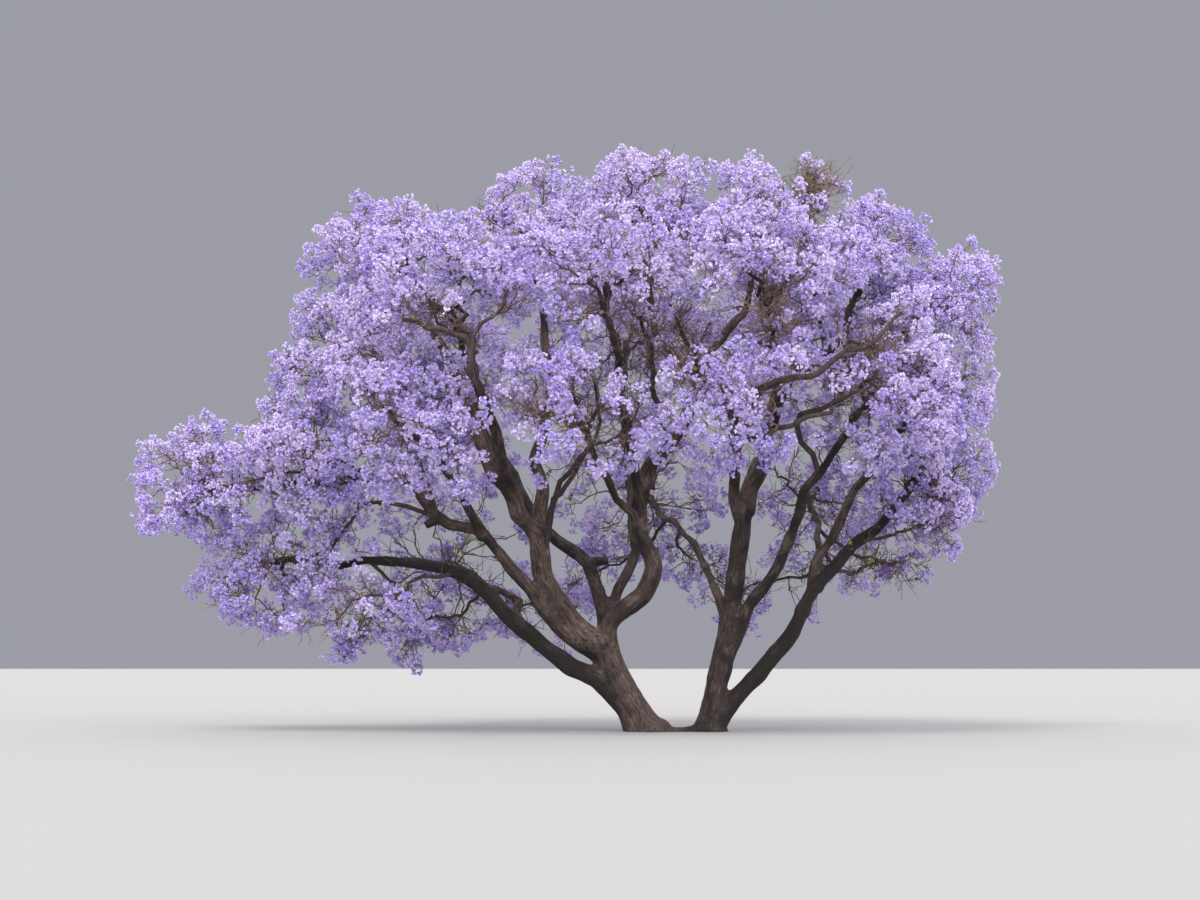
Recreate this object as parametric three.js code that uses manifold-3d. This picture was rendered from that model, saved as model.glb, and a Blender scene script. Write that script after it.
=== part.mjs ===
// A jacaranda tree in full bloom: a clump of two leaning stems that rise from one root crown,
// their boughs, and the masses of blossom that the boughs carry. Millimetres, +Z up. The origin
// is on the flat cut under the root crown, and -Y is the side that the tree is looked at from.
import * as THREE from "three";
import { mergeVertices } from "three/addons/utils/BufferGeometryUtils.js";
import Module from "manifold-3d";

const wasm = await Module();
wasm.setup();

// Driving dimensions.
const METRE = 1000;
const JOINT_GAP = 0.3;
const ROOT_CROWN_HEIGHT = 0.3 * METRE;
const FLARE_SHARE = 0.5;
const FLARE_HEIGHT = 0.15 * METRE;
const ROOT_LOBES = 5;
const ROOT_LOBE_DEPTH = 0.16;
const SADDLE_RADIUS = 0.3 * METRE;
const SADDLE_DEPTH = 0.12 * METRE;
const BLOOM_RADIUS = 0.74 * METRE;
const BLOOM_HEIGHT_SHARE = 0.8;
const BLOOMS_A_MASS = 15;
const ARMS_A_MASS = 4;
const ARM_RADIUS = 0.045 * METRE;
const TWIG_RADIUS = 0.035 * METRE;
const WALL_CLEARANCE = 0.01 * METRE;
const LIMB_CLEARANCE = 0.03 * METRE;

// How finely the solids are faceted.
const STEM_SIDES = 11;
const BOUGH_SIDES = 6;
const TWIG_SIDES = 3;
const STEM_STEP = 0.36 * METRE;
const BOUGH_STEP = 0.85 * METRE;
const FOOT_CROWDING = 1.4;
const SAMPLE_STEP = 0.12 * METRE;

const BARK = { color: 0x5a4638, roughness: 0.92, metalness: 0 };
const SHADED_BARK = { color: 0x4a3a30, roughness: 0.92, metalness: 0 };
const BLOSSOM = { color: 0xa893dd, roughness: 0.8, metalness: 0 };

const at = (x, y, z) => new THREE.Vector3(x, y, z).multiplyScalar(METRE);

// The two stems, each from below its foot to its fork; the ground's flat cut trims them. Radii
// are at the two ends.
const STEMS = [
  {
    name: "left_stem",
    knees: [at(-0.4, 0, -0.4), at(-0.6, 0, 0.05), at(-0.98, 0, 0.8), at(-1.42, 0, 1.7)],
    thick: 0.31 * METRE,
    thin: 0.27 * METRE,
    lobeTurn: 0.5,
  },
  {
    name: "right_stem",
    knees: [
      at(0.66, 0, -0.4),
      at(0.7, 0, 0.05),
      at(0.82, 0, 0.8),
      at(1.08, 0, 2.0),
      at(1.22, 0, 3.0),
      at(1.42, 0, 4.4),
    ],
    thick: 0.27 * METRE,
    thin: 0.16 * METRE,
    lobeTurn: 2.2,
  },
];

// The masses of blossom: where each one's centre is, how far it reaches along X, Y and Z, how
// much of its underside is in bloom, and the seed of its twigs.
const mass = (name, centre, reach, under, seed) => ({ name, centre, reach, under, seed });
const MASSES = [
  mass("far_left_bloom", at(-9.1, -0.2, 4.65), at(1.6, 1.9, 1.45), 0.9, 11),
  mass("low_left_bloom", at(-7.9, 0.5, 3.35), at(1.9, 2.0, 1.6), 1.0, 12),
  mass("left_middle_bloom", at(-6.75, -0.8, 5.2), at(1.8, 2.2, 1.5), 0.9, 13),
  mass("left_shoulder_bloom", at(-6.35, 0.2, 7.25), at(1.75, 2.2, 1.5), 0.5, 14),
  mass("left_crest_bloom", at(-5.5, 0.2, 9.25), at(1.8, 2.1, 1.45), 0.5, 15),
  mass("top_left_bloom", at(-2.75, 0.2, 9.6), at(1.75, 2.4, 1.7), 0.3, 16),
  mass("top_bloom", at(-0.55, 0.1, 10.1), at(1.75, 2.4, 1.6), 0.3, 17),
  mass("top_right_bloom", at(1.75, 0.1, 9.75), at(1.8, 2.4, 1.55), 0.3, 18),
  mass("right_crest_bloom", at(3.85, 0.1, 9.1), at(1.65, 2.3, 1.55), 0.4, 19),
  mass("right_shoulder_bloom", at(5.1, 0.0, 8.2), at(1.55, 2.1, 1.6), 0.5, 20),
  mass("right_middle_bloom", at(5.05, 0.1, 6.6), at(1.5, 2.1, 1.5), 0.7, 21),
  mass("right_low_bloom", at(4.85, 0.1, 4.95), at(1.5, 2.0, 1.5), 1.0, 22),
  mass("front_left_low_bloom", at(-4.75, -3.0, 5.6), at(1.9, 2.1, 1.55), 0.8, 23),
  mass("front_left_bloom", at(-4.2, -3.2, 7.9), at(2.0, 2.2, 1.65), 0.4, 24),
  mass("front_middle_low_bloom", at(-1.9, -3.7, 5.75), at(1.7, 2.0, 1.4), 0.9, 25),
  mass("front_middle_bloom", at(-1.35, -3.5, 8.15), at(2.0, 2.3, 1.6), 0.4, 26),
  mass("front_right_low_bloom", at(0.95, -3.8, 5.9), at(1.8, 2.0, 1.4), 0.9, 27),
  mass("front_right_bloom", at(1.55, -3.4, 8.15), at(2.0, 2.3, 1.6), 0.4, 28),
  mass("right_front_bloom", at(3.6, -2.9, 6.3), at(1.8, 2.2, 1.8), 0.8, 29),
  mass("back_left_low_bloom", at(-4.5, 2.9, 3.4), at(2.1, 2.1, 2.0), 0.9, 30),
  mass("back_left_bloom", at(-4.4, 3.5, 7.0), at(2.3, 2.5, 2.0), 0.5, 31),
  mass("back_middle_bloom", at(-0.9, 3.9, 8.2), at(2.3, 2.4, 1.9), 0.4, 32),
  mass("back_middle_low_bloom", at(-0.6, 4.3, 5.0), at(2.1, 2.0, 1.8), 1.0, 33),
  mass("back_right_bloom", at(2.5, 3.7, 8.0), at(2.2, 2.4, 1.9), 0.4, 34),
  mass("back_right_low_bloom", at(3.0, 3.7, 4.95), at(2.1, 2.1, 1.9), 1.0, 35),
];

// The boughs. Each leaves its parent at a share of the parent's length and bends at its knees;
// its radii are where it leaves and at its tip. One that feeds a mass ends just inside that
// mass, where the twigs take over. The stubs are left from old pruning.
const BOUGHS = [
  {
    name: "main_left_bough",
    from: "left_stem",
    share: 0.97,
    knees: [
      at(-2.05, 0, 2.3),
      at(-2.5, -0.1, 2.95),
      at(-2.68, -0.25, 3.8),
      at(-3.0, -0.4, 4.45),
      at(-3.5, -0.5, 5.15),
      at(-4.1, -0.2, 6.7),
    ],
    radii: [0.24, 0.08],
    feeds: "left_crest_bloom",
  },
  {
    name: "s_bough",
    from: "left_stem",
    share: 0.9,
    knees: [
      at(-1.15, -0.1, 2.15),
      at(-0.6, -0.3, 2.72),
      at(-0.4, -0.3, 3.25),
      at(-0.7, -0.3, 4.1),
      at(-0.5, -0.25, 4.95),
      at(0.25, -0.1, 6.1),
      at(0.57, 0, 6.95),
    ],
    radii: [0.2, 0.12],
  },
  {
    name: "low_left_bough",
    from: "left_stem",
    share: 0.47,
    knees: [
      at(-2.05, -0.1, 1.42),
      at(-3.2, -0.3, 2.2),
      at(-3.55, -0.35, 2.58),
      at(-4.1, -0.4, 3.0),
      at(-5.0, -0.3, 3.25),
    ],
    radii: [0.2, 0.08],
    feeds: "low_left_bloom",
  },
  {
    name: "back_left_bough",
    from: "left_stem",
    share: 0.97,
    knees: [at(-1.42, 0.7, 2.6), at(-1.65, 1.1, 3.25), at(-2.6, 2.0, 4.15), at(-3.3, 2.7, 5.3)],
    radii: [0.16, 0.07],
    feeds: "back_left_bloom",
    stub: { share: 0.33, towards: at(0.42, 0, 0.06), radius: 0.1 },
  },
  {
    name: "back_middle_bough",
    from: "left_stem",
    share: 0.91,
    knees: [at(-1.1, 0.7, 2.6), at(-0.78, 1.2, 3.4), at(-0.82, 1.9, 4.6), at(-1.0, 2.6, 5.8)],
    radii: [0.13, 0.07],
    feeds: "back_middle_bloom",
  },
  {
    name: "second_left_bough",
    from: "left_stem",
    share: 0.88,
    knees: [
      at(-2.08, -0.05, 1.96),
      at(-2.9, -0.25, 2.9),
      at(-3.6, -0.5, 3.68),
      at(-4.55, -0.6, 4.18),
      at(-5.3, -0.5, 4.85),
      at(-6.8, -0.3, 4.85),
    ],
    radii: [0.15, 0.07],
    feeds: "far_left_bloom",
    stub: { share: 0.52, towards: at(-0.3, 0, -0.12), radius: 0.09 },
  },
  {
    name: "left_middle_bough",
    from: "second_left_bough",
    share: 0.68,
    knees: [],
    radii: [0.09, 0.06],
    feeds: "left_middle_bloom",
  },
  {
    name: "shoulder_bough",
    from: "second_left_bough",
    share: 0.6,
    knees: [at(-5.05, -0.3, 5.4)],
    radii: [0.1, 0.06],
    feeds: "left_shoulder_bloom",
  },
  {
    name: "inner_left_bough",
    from: "main_left_bough",
    share: 0.34,
    knees: [at(-2.62, 0, 4.7), at(-2.7, 0.2, 5.3), at(-2.4, 0.3, 6.6)],
    radii: [0.15, 0.08],
    feeds: "top_left_bloom",
  },
  {
    name: "front_left_bough",
    from: "main_left_bough",
    share: 0.58,
    knees: [at(-3.6, -1.5, 6.0)],
    radii: [0.12, 0.07],
    feeds: "front_left_bloom",
  },
  {
    name: "front_left_low_bough",
    from: "second_left_bough",
    share: 0.44,
    knees: [at(-4.05, -1.3, 4.45)],
    radii: [0.1, 0.06],
    feeds: "front_left_low_bloom",
  },
  {
    name: "hanging_bough",
    from: "low_left_bough",
    share: 0.3,
    knees: [at(-3.15, 0.7, 2.6)],
    radii: [0.1, 0.06],
    feeds: "back_left_low_bloom",
  },
  {
    name: "top_bough",
    from: "s_bough",
    share: 0.99,
    knees: [at(0.1, 0.05, 7.4), at(-0.3, 0.1, 7.9)],
    radii: [0.11, 0.07],
    feeds: "top_bloom",
  },
  {
    name: "top_right_bough",
    from: "s_bough",
    share: 0.97,
    knees: [at(0.85, 0, 7.6), at(1.4, 0.05, 8.1)],
    radii: [0.11, 0.07],
    feeds: "top_right_bloom",
  },
  {
    name: "front_middle_bough",
    from: "s_bough",
    share: 0.6,
    knees: [at(-0.8, -1.3, 5.5), at(-1.1, -2.3, 6.7)],
    radii: [0.12, 0.07],
    feeds: "front_middle_bloom",
  },
  {
    name: "front_middle_low_bough",
    from: "s_bough",
    share: 0.47,
    knees: [at(-1.1, -1.3, 4.6)],
    radii: [0.09, 0.06],
    feeds: "front_middle_low_bloom",
  },
  {
    name: "right_bough",
    from: "right_stem",
    share: 0.98,
    knees: [at(1.75, 0.1, 5.1), at(2.0, 0.2, 6.2), at(2.35, 0.2, 7.0), at(3.2, 0.2, 7.5)],
    radii: [0.16, 0.08],
    feeds: "right_crest_bloom",
  },
  {
    name: "upright_bough",
    from: "right_stem",
    share: 0.96,
    knees: [at(1.2, -0.4, 4.95), at(1.1, -1.5, 5.4)],
    radii: [0.13, 0.07],
    feeds: "front_right_low_bloom",
  },
  {
    name: "low_right_bough",
    from: "right_stem",
    share: 0.16,
    knees: [
      at(1.5, -0.05, 1.0),
      at(2.3, -0.2, 1.92),
      at(2.65, -0.3, 2.58),
      at(3.2, -0.3, 3.22),
      at(4.1, -0.15, 4.1),
    ],
    radii: [0.2, 0.09],
    feeds: "right_low_bloom",
  },
  {
    name: "upper_right_bough",
    from: "low_right_bough",
    share: 0.42,
    knees: [at(2.85, 0.1, 3.25), at(3.3, 0.3, 3.9), at(3.75, 0.4, 4.9)],
    radii: [0.12, 0.07],
    feeds: "right_middle_bloom",
  },
  {
    name: "outer_right_bough",
    from: "right_stem",
    share: 0.45,
    knees: [at(1.6, -0.25, 2.55), at(2.17, -0.6, 3.55), at(2.7, -1.4, 4.8)],
    radii: [0.14, 0.07],
    feeds: "right_front_bloom",
  },
  {
    name: "right_shoulder_bough",
    from: "right_bough",
    share: 0.7,
    knees: [at(3.3, 0.0, 7.05)],
    radii: [0.09, 0.06],
    feeds: "right_shoulder_bloom",
  },
  {
    name: "front_right_bough",
    from: "right_bough",
    share: 0.35,
    knees: [at(2.05, -1.1, 6.8)],
    radii: [0.11, 0.07],
    feeds: "front_right_bloom",
  },
  {
    name: "back_right_bough",
    from: "right_stem",
    share: 0.8,
    knees: [at(1.5, 0.9, 4.6), at(1.9, 1.9, 5.8)],
    radii: [0.13, 0.07],
    feeds: "back_right_bloom",
  },
  {
    name: "back_middle_low_bough",
    from: "right_stem",
    share: 0.55,
    knees: [at(0.7, 1.0, 3.2), at(0.2, 2.1, 4.1)],
    radii: [0.1, 0.06],
    feeds: "back_middle_low_bloom",
  },
  {
    name: "back_right_low_bough",
    from: "low_right_bough",
    share: 0.55,
    knees: [at(3.0, 1.0, 3.4)],
    radii: [0.1, 0.06],
    feeds: "back_right_low_bloom",
  },
];

// Where a bough stops: this share of the way from its mass's centre to the mass's edge.
const ENTRY_SHARE = 0.55;

// A run of seeded numbers between 0 and 1, the same on every machine.
const DICE_STEP = 16807;
const DICE_MODULUS = 2147483647;
const DICE_START = 1234577;
function dice(seed) {
  let state = (seed * DICE_START) % DICE_MODULUS;
  return () => {
    state = (state * DICE_STEP) % DICE_MODULUS;
    return state / DICE_MODULUS;
  };
}

// The same geometry with its shared vertices merged, so that its faces close up.
const MERGE_DISTANCE = 1e-3;
function closed(geometry) {
  const bare = geometry.clone();
  bare.deleteAttribute("normal");
  bare.deleteAttribute("uv");
  return mergeVertices(bare, MERGE_DISTANCE);
}

function solidOf(geometry) {
  const merged = closed(geometry);
  const mesh = new wasm.Mesh({
    numProp: 3,
    vertProperties: merged.attributes.position.array,
    triVerts: new Uint32Array(merged.index.array),
  });
  return new wasm.Manifold(mesh);
}

// A named three.js mesh from a solid. Only the largest body of the solid is kept.
function meshOf(name, solid, look) {
  const bodies = solid.decompose();
  const whole = bodies.reduce((best, body) => (body.volume() > best.volume() ? body : best));
  const made = whole.getMesh();
  const geometry = new THREE.BufferGeometry();
  geometry.setAttribute("position", new THREE.BufferAttribute(made.vertProperties, 3));
  geometry.setIndex(new THREE.BufferAttribute(made.triVerts, 1));
  geometry.computeVertexNormals();
  const mesh = new THREE.Mesh(geometry, new THREE.MeshStandardMaterial(look));
  mesh.name = name;
  return mesh;
}

const curveThrough = (knees) => new THREE.CatmullRomCurve3(knees, false, "centripetal");

// A direction that no limb runs along, to start the rings of a tube from.
const SLANT = new THREE.Vector3(0.31, 0.93, 0.2);

// A closed tube along a curve, with a ring at each of the shares of its length. radiusAt gives
// the radius at a share, a height and an angle round the tube. Its ends run on by overrun.
function tube(curve, shares, sides, radiusAt, overrun = 0) {
  const positions = [];
  const faces = [];
  const steps = shares.length - 1;
  const spoke = new THREE.Vector3();
  const across = curve.getTangentAt(0).cross(SLANT).normalize();
  for (const share of shares) {
    const centre = curve.getPointAt(share);
    const along = curve.getTangentAt(share);
    if (share === 0) centre.addScaledVector(along, -overrun);
    if (share === 1) centre.addScaledVector(along, overrun);
    across.addScaledVector(along, -across.dot(along)).normalize();
    const third = along.clone().cross(across);
    for (let side = 0; side < sides; side++) {
      const angle = (side / sides) * 2 * Math.PI;
      spoke.copy(across).multiplyScalar(Math.cos(angle)).addScaledVector(third, Math.sin(angle));
      spoke.multiplyScalar(radiusAt(share, centre.z, angle)).add(centre);
      positions.push(spoke.x, spoke.y, spoke.z);
    }
  }
  const corner = (ring, side) => ring * sides + (side % sides);
  for (let ring = 0; ring < steps; ring++) {
    for (let side = 0; side < sides; side++) {
      faces.push(corner(ring, side), corner(ring, side + 1), corner(ring + 1, side));
      faces.push(corner(ring + 1, side), corner(ring, side + 1), corner(ring + 1, side + 1));
    }
  }
  for (let side = 1; side < sides - 1; side++) {
    faces.push(corner(0, 0), corner(0, side + 1), corner(0, side));
    faces.push(corner(steps, 0), corner(steps, side), corner(steps, side + 1));
  }
  const geometry = new THREE.BufferGeometry();
  geometry.setAttribute("position", new THREE.Float32BufferAttribute(positions, 3));
  geometry.setIndex(faces);
  return solidOf(geometry);
}

// A box between two heights, wide enough to cut through the whole tree.
const BEYOND_TREE = 20 * METRE;
function slab(low, high) {
  const box = new THREE.BoxGeometry(BEYOND_TREE, BEYOND_TREE, high - low);
  box.translate(0, 0, (low + high) / 2);
  return solidOf(box);
}

const limbs = new Map();

// The distance from a limb's middle line is its radius, swollen by grow where it cuts another.
function taper(limb, grow) {
  return (share) => limb.thick + (limb.thin - limb.thick) * share + grow;
}

function addSamples(limb) {
  const count = Math.ceil(limb.curve.getLength() / SAMPLE_STEP);
  const radius = taper(limb, 0);
  limb.samples = limb.curve.getSpacedPoints(count).map((point, index) => ({
    point,
    radius: radius(index / count),
  }));
}

const evenShares = (steps) => Array.from({ length: steps + 1 }, (_, index) => index / steps);

// A stem's foot spreads into rounded root lobes, and the flare dies away as the stem rises.
function stemSolid(stem, grow) {
  const plain = taper(stem, grow);
  const steps = Math.ceil(stem.curve.getLength() / STEM_STEP);
  const shares = evenShares(steps).map((share) => share ** FOOT_CROWDING);
  const radiusAt = (share, height, angle) => {
    const flare = Math.exp(-Math.max(height, 0) / FLARE_HEIGHT);
    const lobe = Math.cos(ROOT_LOBES * angle + stem.lobeTurn);
    return plain(share) * (1 + flare * (FLARE_SHARE + ROOT_LOBE_DEPTH * lobe));
  };
  return tube(stem.curve, shares, STEM_SIDES, radiusAt, grow);
}

function boughSolid(bough, grow) {
  const steps = Math.ceil(bough.curve.getLength() / BOUGH_STEP) + 1;
  const limb = tube(bough.curve, evenShares(steps), BOUGH_SIDES, taper(bough, grow), grow);
  if (!bough.stub) return limb;
  const root = bough.curve.getPointAt(bough.stub.share);
  const line = new THREE.LineCurve3(root, root.clone().add(bough.stub.towards));
  const radius = bough.stub.radius * METRE + grow;
  return limb.add(tube(line, [0, 1], BOUGH_SIDES, () => radius, grow));
}

const reachAlong = (mass, direction) => mass.reach.clone().multiply(direction).length();

// Neighbouring masses are parted by flat walls, set between the centres by how far each reaches.
function wallsOf(mass) {
  const walls = [];
  for (const other of MASSES) {
    if (other === mass) continue;
    const normal = other.centre.clone().sub(mass.centre);
    const between = normal.length();
    normal.normalize();
    const ours = reachAlong(mass, normal);
    const theirs = reachAlong(other, normal);
    walls.push({ normal, distance: (between * ours) / (ours + theirs) });
  }
  return walls;
}

// How far from the mass's centre, along offset, a ball of this radius may go before a wall.
function shareInside(mass, offset, radius) {
  let share = 1;
  for (const wall of mass.walls) {
    const along = wall.normal.dot(offset);
    const room = wall.distance - radius - WALL_CLEARANCE;
    if (along > room) share = Math.min(share, Math.max(room, 0) / along);
  }
  return share;
}

function touchesLimb(point, radius) {
  for (const limb of limbs.values()) {
    for (const sample of limb.samples) {
      const closest = radius + sample.radius + LIMB_CLEARANCE;
      if (point.distanceToSquared(sample.point) < closest * closest) return true;
    }
  }
  return false;
}

function lineTouchesLimb(start, end, radius) {
  const count = Math.ceil(start.distanceTo(end) / SAMPLE_STEP);
  for (let index = 0; index <= count; index++) {
    if (touchesLimb(start.clone().lerp(end, index / count), radius)) return true;
  }
  return false;
}

// Directions spread evenly over a ball, each a golden angle on from the last.
const GOLDEN_ANGLE = Math.PI * (3 - Math.sqrt(5));
function evenDirection(index, count, turn) {
  const height = 1 - (2 * index + 1) / count;
  const across = Math.sqrt(1 - height * height);
  const angle = index * GOLDEN_ANGLE + turn;
  return new THREE.Vector3(across * Math.cos(angle), across * Math.sin(angle), height);
}

function rolledDirection(roll) {
  const height = 2 * roll() - 1;
  const angle = 2 * Math.PI * roll();
  const across = Math.sqrt(1 - height * height);
  return new THREE.Vector3(across * Math.cos(angle), across * Math.sin(angle), height);
}

// The twig rule. Blooms sit on the sides of a mass that face out of the crown. Each one is the
// best placed of a few seeded tries: the one farthest from the blooms before it. It joins the
// arm that points most nearly its way.
const CROWN_HEART = at(-1.5, 0, 4.6);
const TRIES = 14;
const INWARD_LIMIT = -0.3;
const UNDERSIDE = -0.35;
const CROWDING = 0.65;
const SOFT_SHARE = 0.6;
const DEEPEST = 0.62;
const SMALLEST = 0.8;
const SIZE_SPREAD = 0.4;

function tryBloom(mass, outward, roll) {
  const direction = rolledDirection(roll);
  const depth = DEEPEST + (1 - DEEPEST) * Math.sqrt(roll());
  const radius = BLOOM_RADIUS * (SMALLEST + SIZE_SPREAD * roll());
  if (roll() > mass.under && direction.z < UNDERSIDE) return null;
  if (direction.dot(outward) < INWARD_LIMIT) return null;
  const offset = mass.reach.clone().multiply(direction);
  offset.setLength(offset.length() * depth - radius * SOFT_SHARE);
  offset.multiplyScalar(shareInside(mass, offset, radius * SOFT_SHARE));
  const point = mass.centre.clone().add(offset);
  if (touchesLimb(point, radius * SOFT_SHARE)) return null;
  return { point, radius, direction };
}

const SEEDS_A_MASS = 100;
function planMass(mass) {
  const roll = dice(mass.seed);
  const turn = roll() * 2 * Math.PI;
  const outward = mass.centre.clone().sub(CROWN_HEART).normalize();
  const arms = [];
  const kept = [];
  for (let index = 0; index < ARMS_A_MASS; index++) {
    arms.push({ direction: evenDirection(index, ARMS_A_MASS, turn), blooms: [] });
  }
  for (let index = 0; index < BLOOMS_A_MASS; index++) {
    let best = null;
    let bestRoom = CROWDING;
    for (let tries = 0; tries < TRIES; tries++) {
      const bloom = tryBloom(mass, outward, roll);
      if (!bloom) continue;
      const rooms = kept.map(
        (other) => other.point.distanceTo(bloom.point) / (other.radius + bloom.radius),
      );
      const room = Math.min(...rooms);
      if (room <= bestRoom) continue;
      best = bloom;
      bestRoom = room;
    }
    if (!best) continue;
    best.seed = mass.seed * SEEDS_A_MASS + index;
    kept.push(best);
    const towards = best.point.clone().sub(mass.centre);
    const nearest = arms.reduce((first, arm) =>
      arm.direction.dot(towards) > first.direction.dot(towards) ? arm : first,
    );
    nearest.blooms.push(best);
  }
  return arms.filter((arm) => arm.blooms.length > 0);
}

// One bloom: a rough eight-sided lump that stands for a cluster of flower sprays.
const BLOOM_ROUGHNESS = 0.16;
const BLOOM_LIFT = new THREE.Vector3(0, 0, 0.6);
const UP = new THREE.Vector3(0, 0, 1);
function bloomSolid(bloom) {
  const geometry = closed(new THREE.OctahedronGeometry(1));
  const roll = dice(bloom.seed);
  const corners = geometry.attributes.position;
  const corner = new THREE.Vector3();
  const facing = bloom.direction.clone().add(BLOOM_LIFT).normalize();
  const tilt = new THREE.Quaternion().setFromUnitVectors(UP, facing);
  const spin = roll() * Math.PI;
  for (let index = 0; index < corners.count; index++) {
    corner.fromBufferAttribute(corners, index).applyAxisAngle(UP, spin);
    corner.z *= BLOOM_HEIGHT_SHARE;
    corner.multiplyScalar(bloom.radius * (1 - BLOOM_ROUGHNESS * roll()));
    corner.applyQuaternion(tilt).add(bloom.point);
    corners.setXYZ(index, corner.x, corner.y, corner.z);
  }
  return solidOf(geometry);
}

// A twig is a slim three-sided pyramid, so it needs no more than four faces.
function twigSolid(start, end, radius) {
  const along = end.clone().sub(start);
  const cone = new THREE.ConeGeometry(radius, along.length(), TWIG_SIDES, 1);
  cone.translate(0, along.length() / 2, 0);
  const turn = new THREE.Quaternion().setFromUnitVectors(
    new THREE.Vector3(0, 1, 0),
    along.clone().normalize(),
  );
  cone.applyQuaternion(turn);
  cone.translate(start.x, start.y, start.z);
  return solidOf(cone);
}

// A mass is one stem that carries on from its bough's tip, the arms that leave the stem, a small
// bloom where each arm ends, and a twig from there to each of the arm's blooms.
const ARM_END_SHARE = 0.5;
const FIRST_ARM_SHARE = 0.45;
const ARM_OVERRUN = 1.5;
const INNER_BLOOM_SHARE = 0.66;
const STEM_START_SHARE = 0.95;
const STEM_THINNING = 0.5;
function massSolid(mass) {
  const bough = [...limbs.values()].find((limb) => limb.feeds === mass.name);
  const tip = bough.curve.getPoint(1);
  const heading = bough.curve.getTangent(1);
  const start = tip.clone().addScaledVector(heading, JOINT_GAP);
  const end = mass.centre.clone();
  const bend = start.clone().addScaledVector(heading, start.distanceTo(end) / 2);
  const stem = new THREE.QuadraticBezierCurve3(start, bend, end);
  const stemTaper = (share) => bough.thin * (STEM_START_SHARE - STEM_THINNING * share);
  const pieces = [tube(stem, evenShares(2), TWIG_SIDES + 1, stemTaper)];
  const arms = planMass(mass);
  arms.forEach((arm, index) => {
    const share = FIRST_ARM_SHARE + ((1 - FIRST_ARM_SHARE) * index) / arms.length;
    const root = stem.getPoint(share);
    const middle = new THREE.Vector3();
    arm.blooms.forEach((bloom) => middle.addScaledVector(bloom.point, 1 / arm.blooms.length));
    const elbow = mass.centre.clone().lerp(middle, ARM_END_SHARE);
    const halfway = root.clone().lerp(elbow, 0.5);
    if (lineTouchesLimb(elbow, halfway, ARM_RADIUS)) return;
    pieces.push(twigSolid(root, root.clone().lerp(elbow, ARM_OVERRUN), ARM_RADIUS));
    const radius = BLOOM_RADIUS * INNER_BLOOM_SHARE;
    if (!touchesLimb(elbow, radius * SOFT_SHARE)) {
      const seed = mass.seed * SEEDS_A_MASS + BLOOMS_A_MASS + index;
      pieces.push(bloomSolid({ point: elbow, radius, direction: arm.direction, seed }));
    }
    for (const bloom of arm.blooms) {
      if (lineTouchesLimb(elbow, bloom.point, TWIG_RADIUS)) continue;
      pieces.push(twigSolid(elbow, bloom.point, TWIG_RADIUS));
      pieces.push(bloomSolid(bloom));
    }
  });
  let whole = wasm.Manifold.union(pieces);
  for (const wall of mass.walls) {
    const offset = wall.normal.dot(mass.centre) + wall.distance - JOINT_GAP;
    const inwards = wall.normal.clone().negate().toArray();
    whole = whole.trimByPlane(inwards, -offset);
  }
  for (const cutter of cutters) {
    if (nearBoxes(whole, cutter)) whole = whole.subtract(cutter);
  }
  return whole;
}

function nearBoxes(one, other) {
  const a = one.boundingBox();
  const b = other.boundingBox();
  return [0, 1, 2].every((axis) => a.min[axis] < b.max[axis] && b.min[axis] < a.max[axis]);
}

const tree = new THREE.Group();

// The stems' lines come first, then the boughs' in order, so that each finds its parent.
for (const stem of STEMS) {
  stem.curve = curveThrough(stem.knees);
  limbs.set(stem.name, stem);
}
for (const bough of BOUGHS) {
  bough.thick = bough.radii[0] * METRE;
  bough.thin = bough.radii[1] * METRE;
  const knees = [limbs.get(bough.from).curve.getPoint(bough.share), ...bough.knees];
  const mass = MASSES.find((one) => one.name === bough.feeds);
  if (mass) {
    const towards = knees.at(-1).clone().sub(mass.centre);
    const edge = reachAlong(mass, towards.clone().normalize());
    knees.push(mass.centre.clone().add(towards.setLength(edge * ENTRY_SHARE)));
  }
  bough.curve = curveThrough(knees);
  limbs.set(bough.name, bough);
}
for (const limb of limbs.values()) addSamples(limb);
for (const mass of MASSES) mass.walls = wallsOf(mass);

// The root crown is the flared feet of both stems with a low saddle of wood between them.
const feet = STEMS.map((stem) => stemSolid(stem, 0));
const saddleEnds = STEMS.map((stem) => stem.knees[1].clone().setZ(-SADDLE_DEPTH));
const saddleLine = new THREE.LineCurve3(...saddleEnds);
const saddle = tube(saddleLine, evenShares(2), STEM_SIDES, () => SADDLE_RADIUS);
const rootCrown = wasm.Manifold.union([...feet, saddle]).intersect(slab(0, ROOT_CROWN_HEIGHT));
tree.add(meshOf("root_crown", rootCrown, BARK));

const aboveCrown = slab(ROOT_CROWN_HEIGHT + JOINT_GAP, BEYOND_TREE);
STEMS.forEach((stem, index) => {
  tree.add(meshOf(stem.name, feet[index].intersect(aboveCrown), BARK));
});

// Each bough is cut back from the root crown, the stems and the boughs before it.
const cutters = STEMS.map((stem) => stemSolid(stem, JOINT_GAP));
for (const bough of BOUGHS) {
  const solid = boughSolid(bough, 0).subtract(wasm.Manifold.union(cutters));
  tree.add(meshOf(bough.name, solid.intersect(aboveCrown), SHADED_BARK));
  cutters.push(boughSolid(bough, JOINT_GAP));
}

for (const mass of MASSES) {
  tree.add(meshOf(mass.name, massSolid(mass), BLOSSOM));
}

export default tree;
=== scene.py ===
# %% [markdown]
# # A jacaranda in full bloom
# This lesson grows one flowering tree around a plain model of it. The plain model gives the
# size, the two stems, the boughs and the spaces where blossom may be. We read it first, and
# keep its box, because the finished tree has to fill the same space.

import bmesh
import bpy
import numpy as np
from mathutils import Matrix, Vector, noise


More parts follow.
